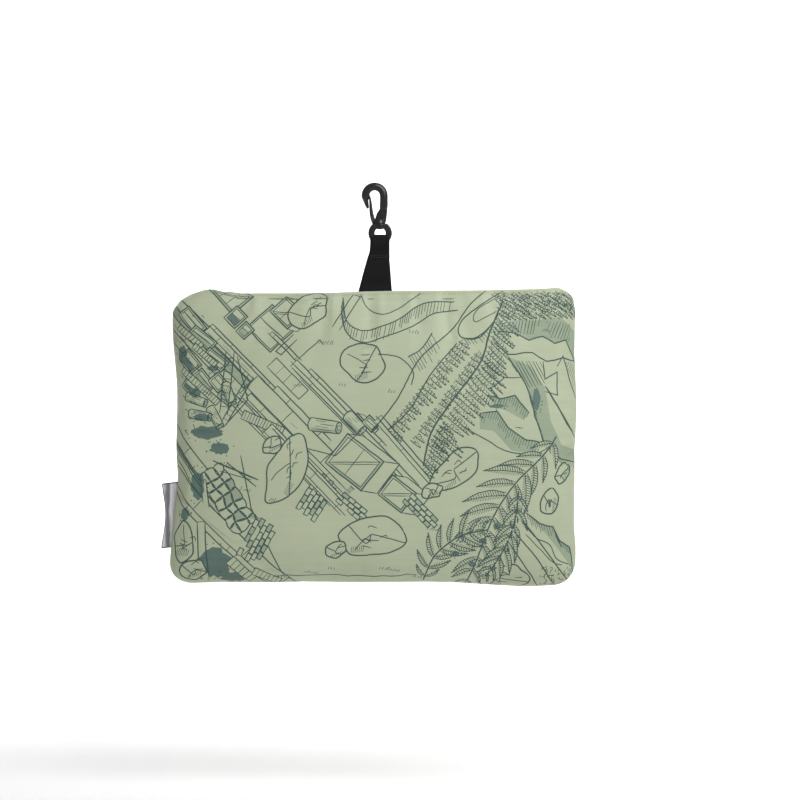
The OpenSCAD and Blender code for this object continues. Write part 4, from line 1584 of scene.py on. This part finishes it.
def end_tab(side):
    """Fabric that closes the zip's end, stretched between the two folded edges."""
    across, along = 10, 12
    verts = []
    for i in range(along + 1):
        u = np.array([side * (99.0 + 9.5 * i / along) * MM])
        v = np.array([HALF_V])
        front, back = cloth(u, v, -1)[0], cloth(u, v, 1)[0]
        for k in range(across + 1):
            t = k / across
            p = front + (back - front) * t
            crown = math.sin(math.pi * t) * min(1, i / 3) * 0.5 - 0.25
            verts.append((p[0], p[1], p[2] + crown * MM - (1.1 * MM if i == 0 else 0)))
    faces = grid_faces(along + 1, across + 1)
    return verts, [f[::-1] for f in faces] if side > 0 else faces


for side, end in ((-1, "front"), (1, "back")):
    tape = mesh_object("zip_tape_" + end, *zip_tape(side), [ZIP_TAPE])
    enter(tape, "pouch", "zipper_tape_" + end)
    coil = mesh_object("zip_coil_" + end, *zip_coil(side), [ZIP_COIL])
    enter(coil, "pouch", "zipper_coil_" + end)

for name, body, material, slot in (
    ("slider", "slider", ZIP_METAL, "zip_metal"),
    ("pull", "pull", ZIP_METAL, "zip_metal"),
    ("top_stop", "pouch", ZIP_COIL, "zip_coil"),
    ("bottom_stop", "pouch", ZIP_COIL, "zip_coil"),
):
    node = "zipper_" + name
    enter(moulded(name, node, 0.14 * MM, 4, material), body, node)

for side, end in ((-1, "left"), (1, "right")):
    tab = mesh_object("zip_end_tab_" + end, *end_tab(side), [NYLON])
    enter(tab, "pouch", "zipper_end_tab_" + end)


# ================= Stitching and seams =================

def topstitch(name, side):
    """A row of thread a few millimetres below the folded edge."""
    pitch, length = 2.9, 2.1
    starts = []
    x = -97.0
    while x < 96:
        # On the back the row stops where the strap is sewn in.
        if side < 0 or not -10.5 < x < 10.5:
            starts.append(x)
        x += pitch
    a = np.array(starts) * MM
    b = a + length * MM
    level = np.full(len(a), HALF_V - 4.0 * MM)
    ends = list(zip(cloth(a, level, side), cloth(b, level, side)))
    normals = cloth_normal((a + b) / 2, level, side)
    return stitches(name, ends, normals, 0.15 * MM, SAGE_THREAD)


for side, end in ((-1, "front"), (1, "back")):
    enter(topstitch("topstitch_row_" + end, side), "pouch", "topstitch_" + end)


def binding(rim_u, rim_v, inward):
    """A bound seam allowance inside the pouch, from just behind the seam."""
    section = ((1.2, 0.28), (4.8, 0.42), (5.1, 0), (4.8, -0.42), (1.2, -0.28))
    middle = (cloth(rim_u, rim_v, -1) + cloth(rim_u, rim_v, 1)) / 2
    verts = []
    for p in middle:
        for reach, lift in section:
            verts.append((p[0] + inward[0] * reach * MM, p[1] + lift * MM, p[2] + inward[1] * reach * MM))
    return verts, closed_faces(len(middle), len(section))


height = np.linspace(-CENTRE_V, CENTRE_V, 60)
width = np.linspace(-CENTRE_X, CENTRE_X, 80)
for name, u, v, inward in (
    ("side_seam_left", np.full(60, -HALF_U), height, (1, 0)),
    ("side_seam_right", np.full(60, HALF_U), height, (-1, 0)),
    ("bottom_seam", width, np.full(80, -HALF_V), (0, 1)),
):
    enter(mesh_object("bound_" + name, *binding(u, v, inward), [BINDING]), "pouch", name)


# ================= The label =================
# Two plies of satin folded round a soft edge, with a slight waist and slant. t runs from the label's
# foot to its top, and lengths are in millimetres.

LABEL_ROOT = -113.6                       # x inside the seam, where both plies start


def label_edge(t):
    """x of the folded edge."""
    return -123.0 + 0.4 * t + 2.1 * math.sin(math.pi * t) ** 1.3


def label_belly(s, t):
    """How far a ply bulges at s of the way from the root to the folded edge."""
    return 0.28 * math.sin(math.pi * s) * (0.6 + 0.4 * math.sin(5 * t + 1))


def label_point(x, y, t):
    z = label_lo[2] / MM + (label_hi[2] - label_lo[2]) / MM * t
    return (x * MM, MID_Y + y * MM, (z + 0.12 * (x + 118)) * MM)


def label_loop():
    rows, half = 26, 9
    verts = []
    for i in range(rows + 1):
        t = i / rows
        edge = label_edge(t)
        flare = 0.10 + 0.10 * math.sin(math.pi * t)
        outline = []
        for k in range(half + 1):
            x = LABEL_ROOT + (edge + 0.55 - LABEL_ROOT) * k / half
            outline.append((x, -(0.16 + flare + label_belly(k / half, t))))
        fold = [(edge + 0.55 - 0.55 * math.sin(a), -(0.16 + flare) * math.cos(a))
                for a in (0.5, 1.05, 1.57, 2.1, 2.64)]
        outline += fold + [(x, -y) for x, y in reversed(outline)]
        inner = [(x + 0.32 if x < edge + 0.6 else x, y * 0.35) for x, y in reversed(outline)]
        verts.extend(label_point(x, y, t) for x, y in outline + inner)
    size = len(verts) // (rows + 1)
    faces = grid_faces(rows + 1, size, wrap=True)
    for start, flip in ((0, False), (rows * size, True)):
        for k in range(size // 2 - 1):
            quad = (start + k, start + k + 1, start + size - 2 - k, start + size - 1 - k)
            faces.append(quad[::-1] if flip else quad)
    return verts, faces


def label_trim(t):
    """A dark woven edge along the label's top or foot."""
    steps = 12
    parts = []
    for side in (-1, 1):
        path = []
        for k in range(steps + 1):
            s = k / steps
            x = LABEL_ROOT + (label_edge(t) + 0.25 - LABEL_ROOT) * s
            path.append(label_point(x, side * (0.34 + label_belly(s, t)), t))
        parts.append(tube(path, 0.34 * MM))
    return joined(parts)


def label_fold_shade():
    """A dark tube down the label's folded edge: painted shade where the fold turns away."""
    return tube([label_point(label_edge(k / 26) + 0.22, 0, k / 26) for k in range(27)], 0.36 * MM)


label = mesh_object("side_label_loop", *label_loop(), [SATIN])
# The trim: dark edges at the top and foot, and a tube of painted shade down the fold.
trim = mesh_object("side_label_trim", *joined([label_trim(0), label_trim(1), label_fold_shade()]), [LABEL_EDGE_AND_FOLD_SHADE])
for piece in (label, trim):
    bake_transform(piece)
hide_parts("side_label")


# ================= The folded tote =================
# It stays sealed in the pouch, as its own CAD nodes, in the same nylon.

for node, obj in frame["nodes"].items():
    if node.startswith("tote_"):
        for slot in obj.material_slots:
            slot.link = "OBJECT"
            slot.material = LINING
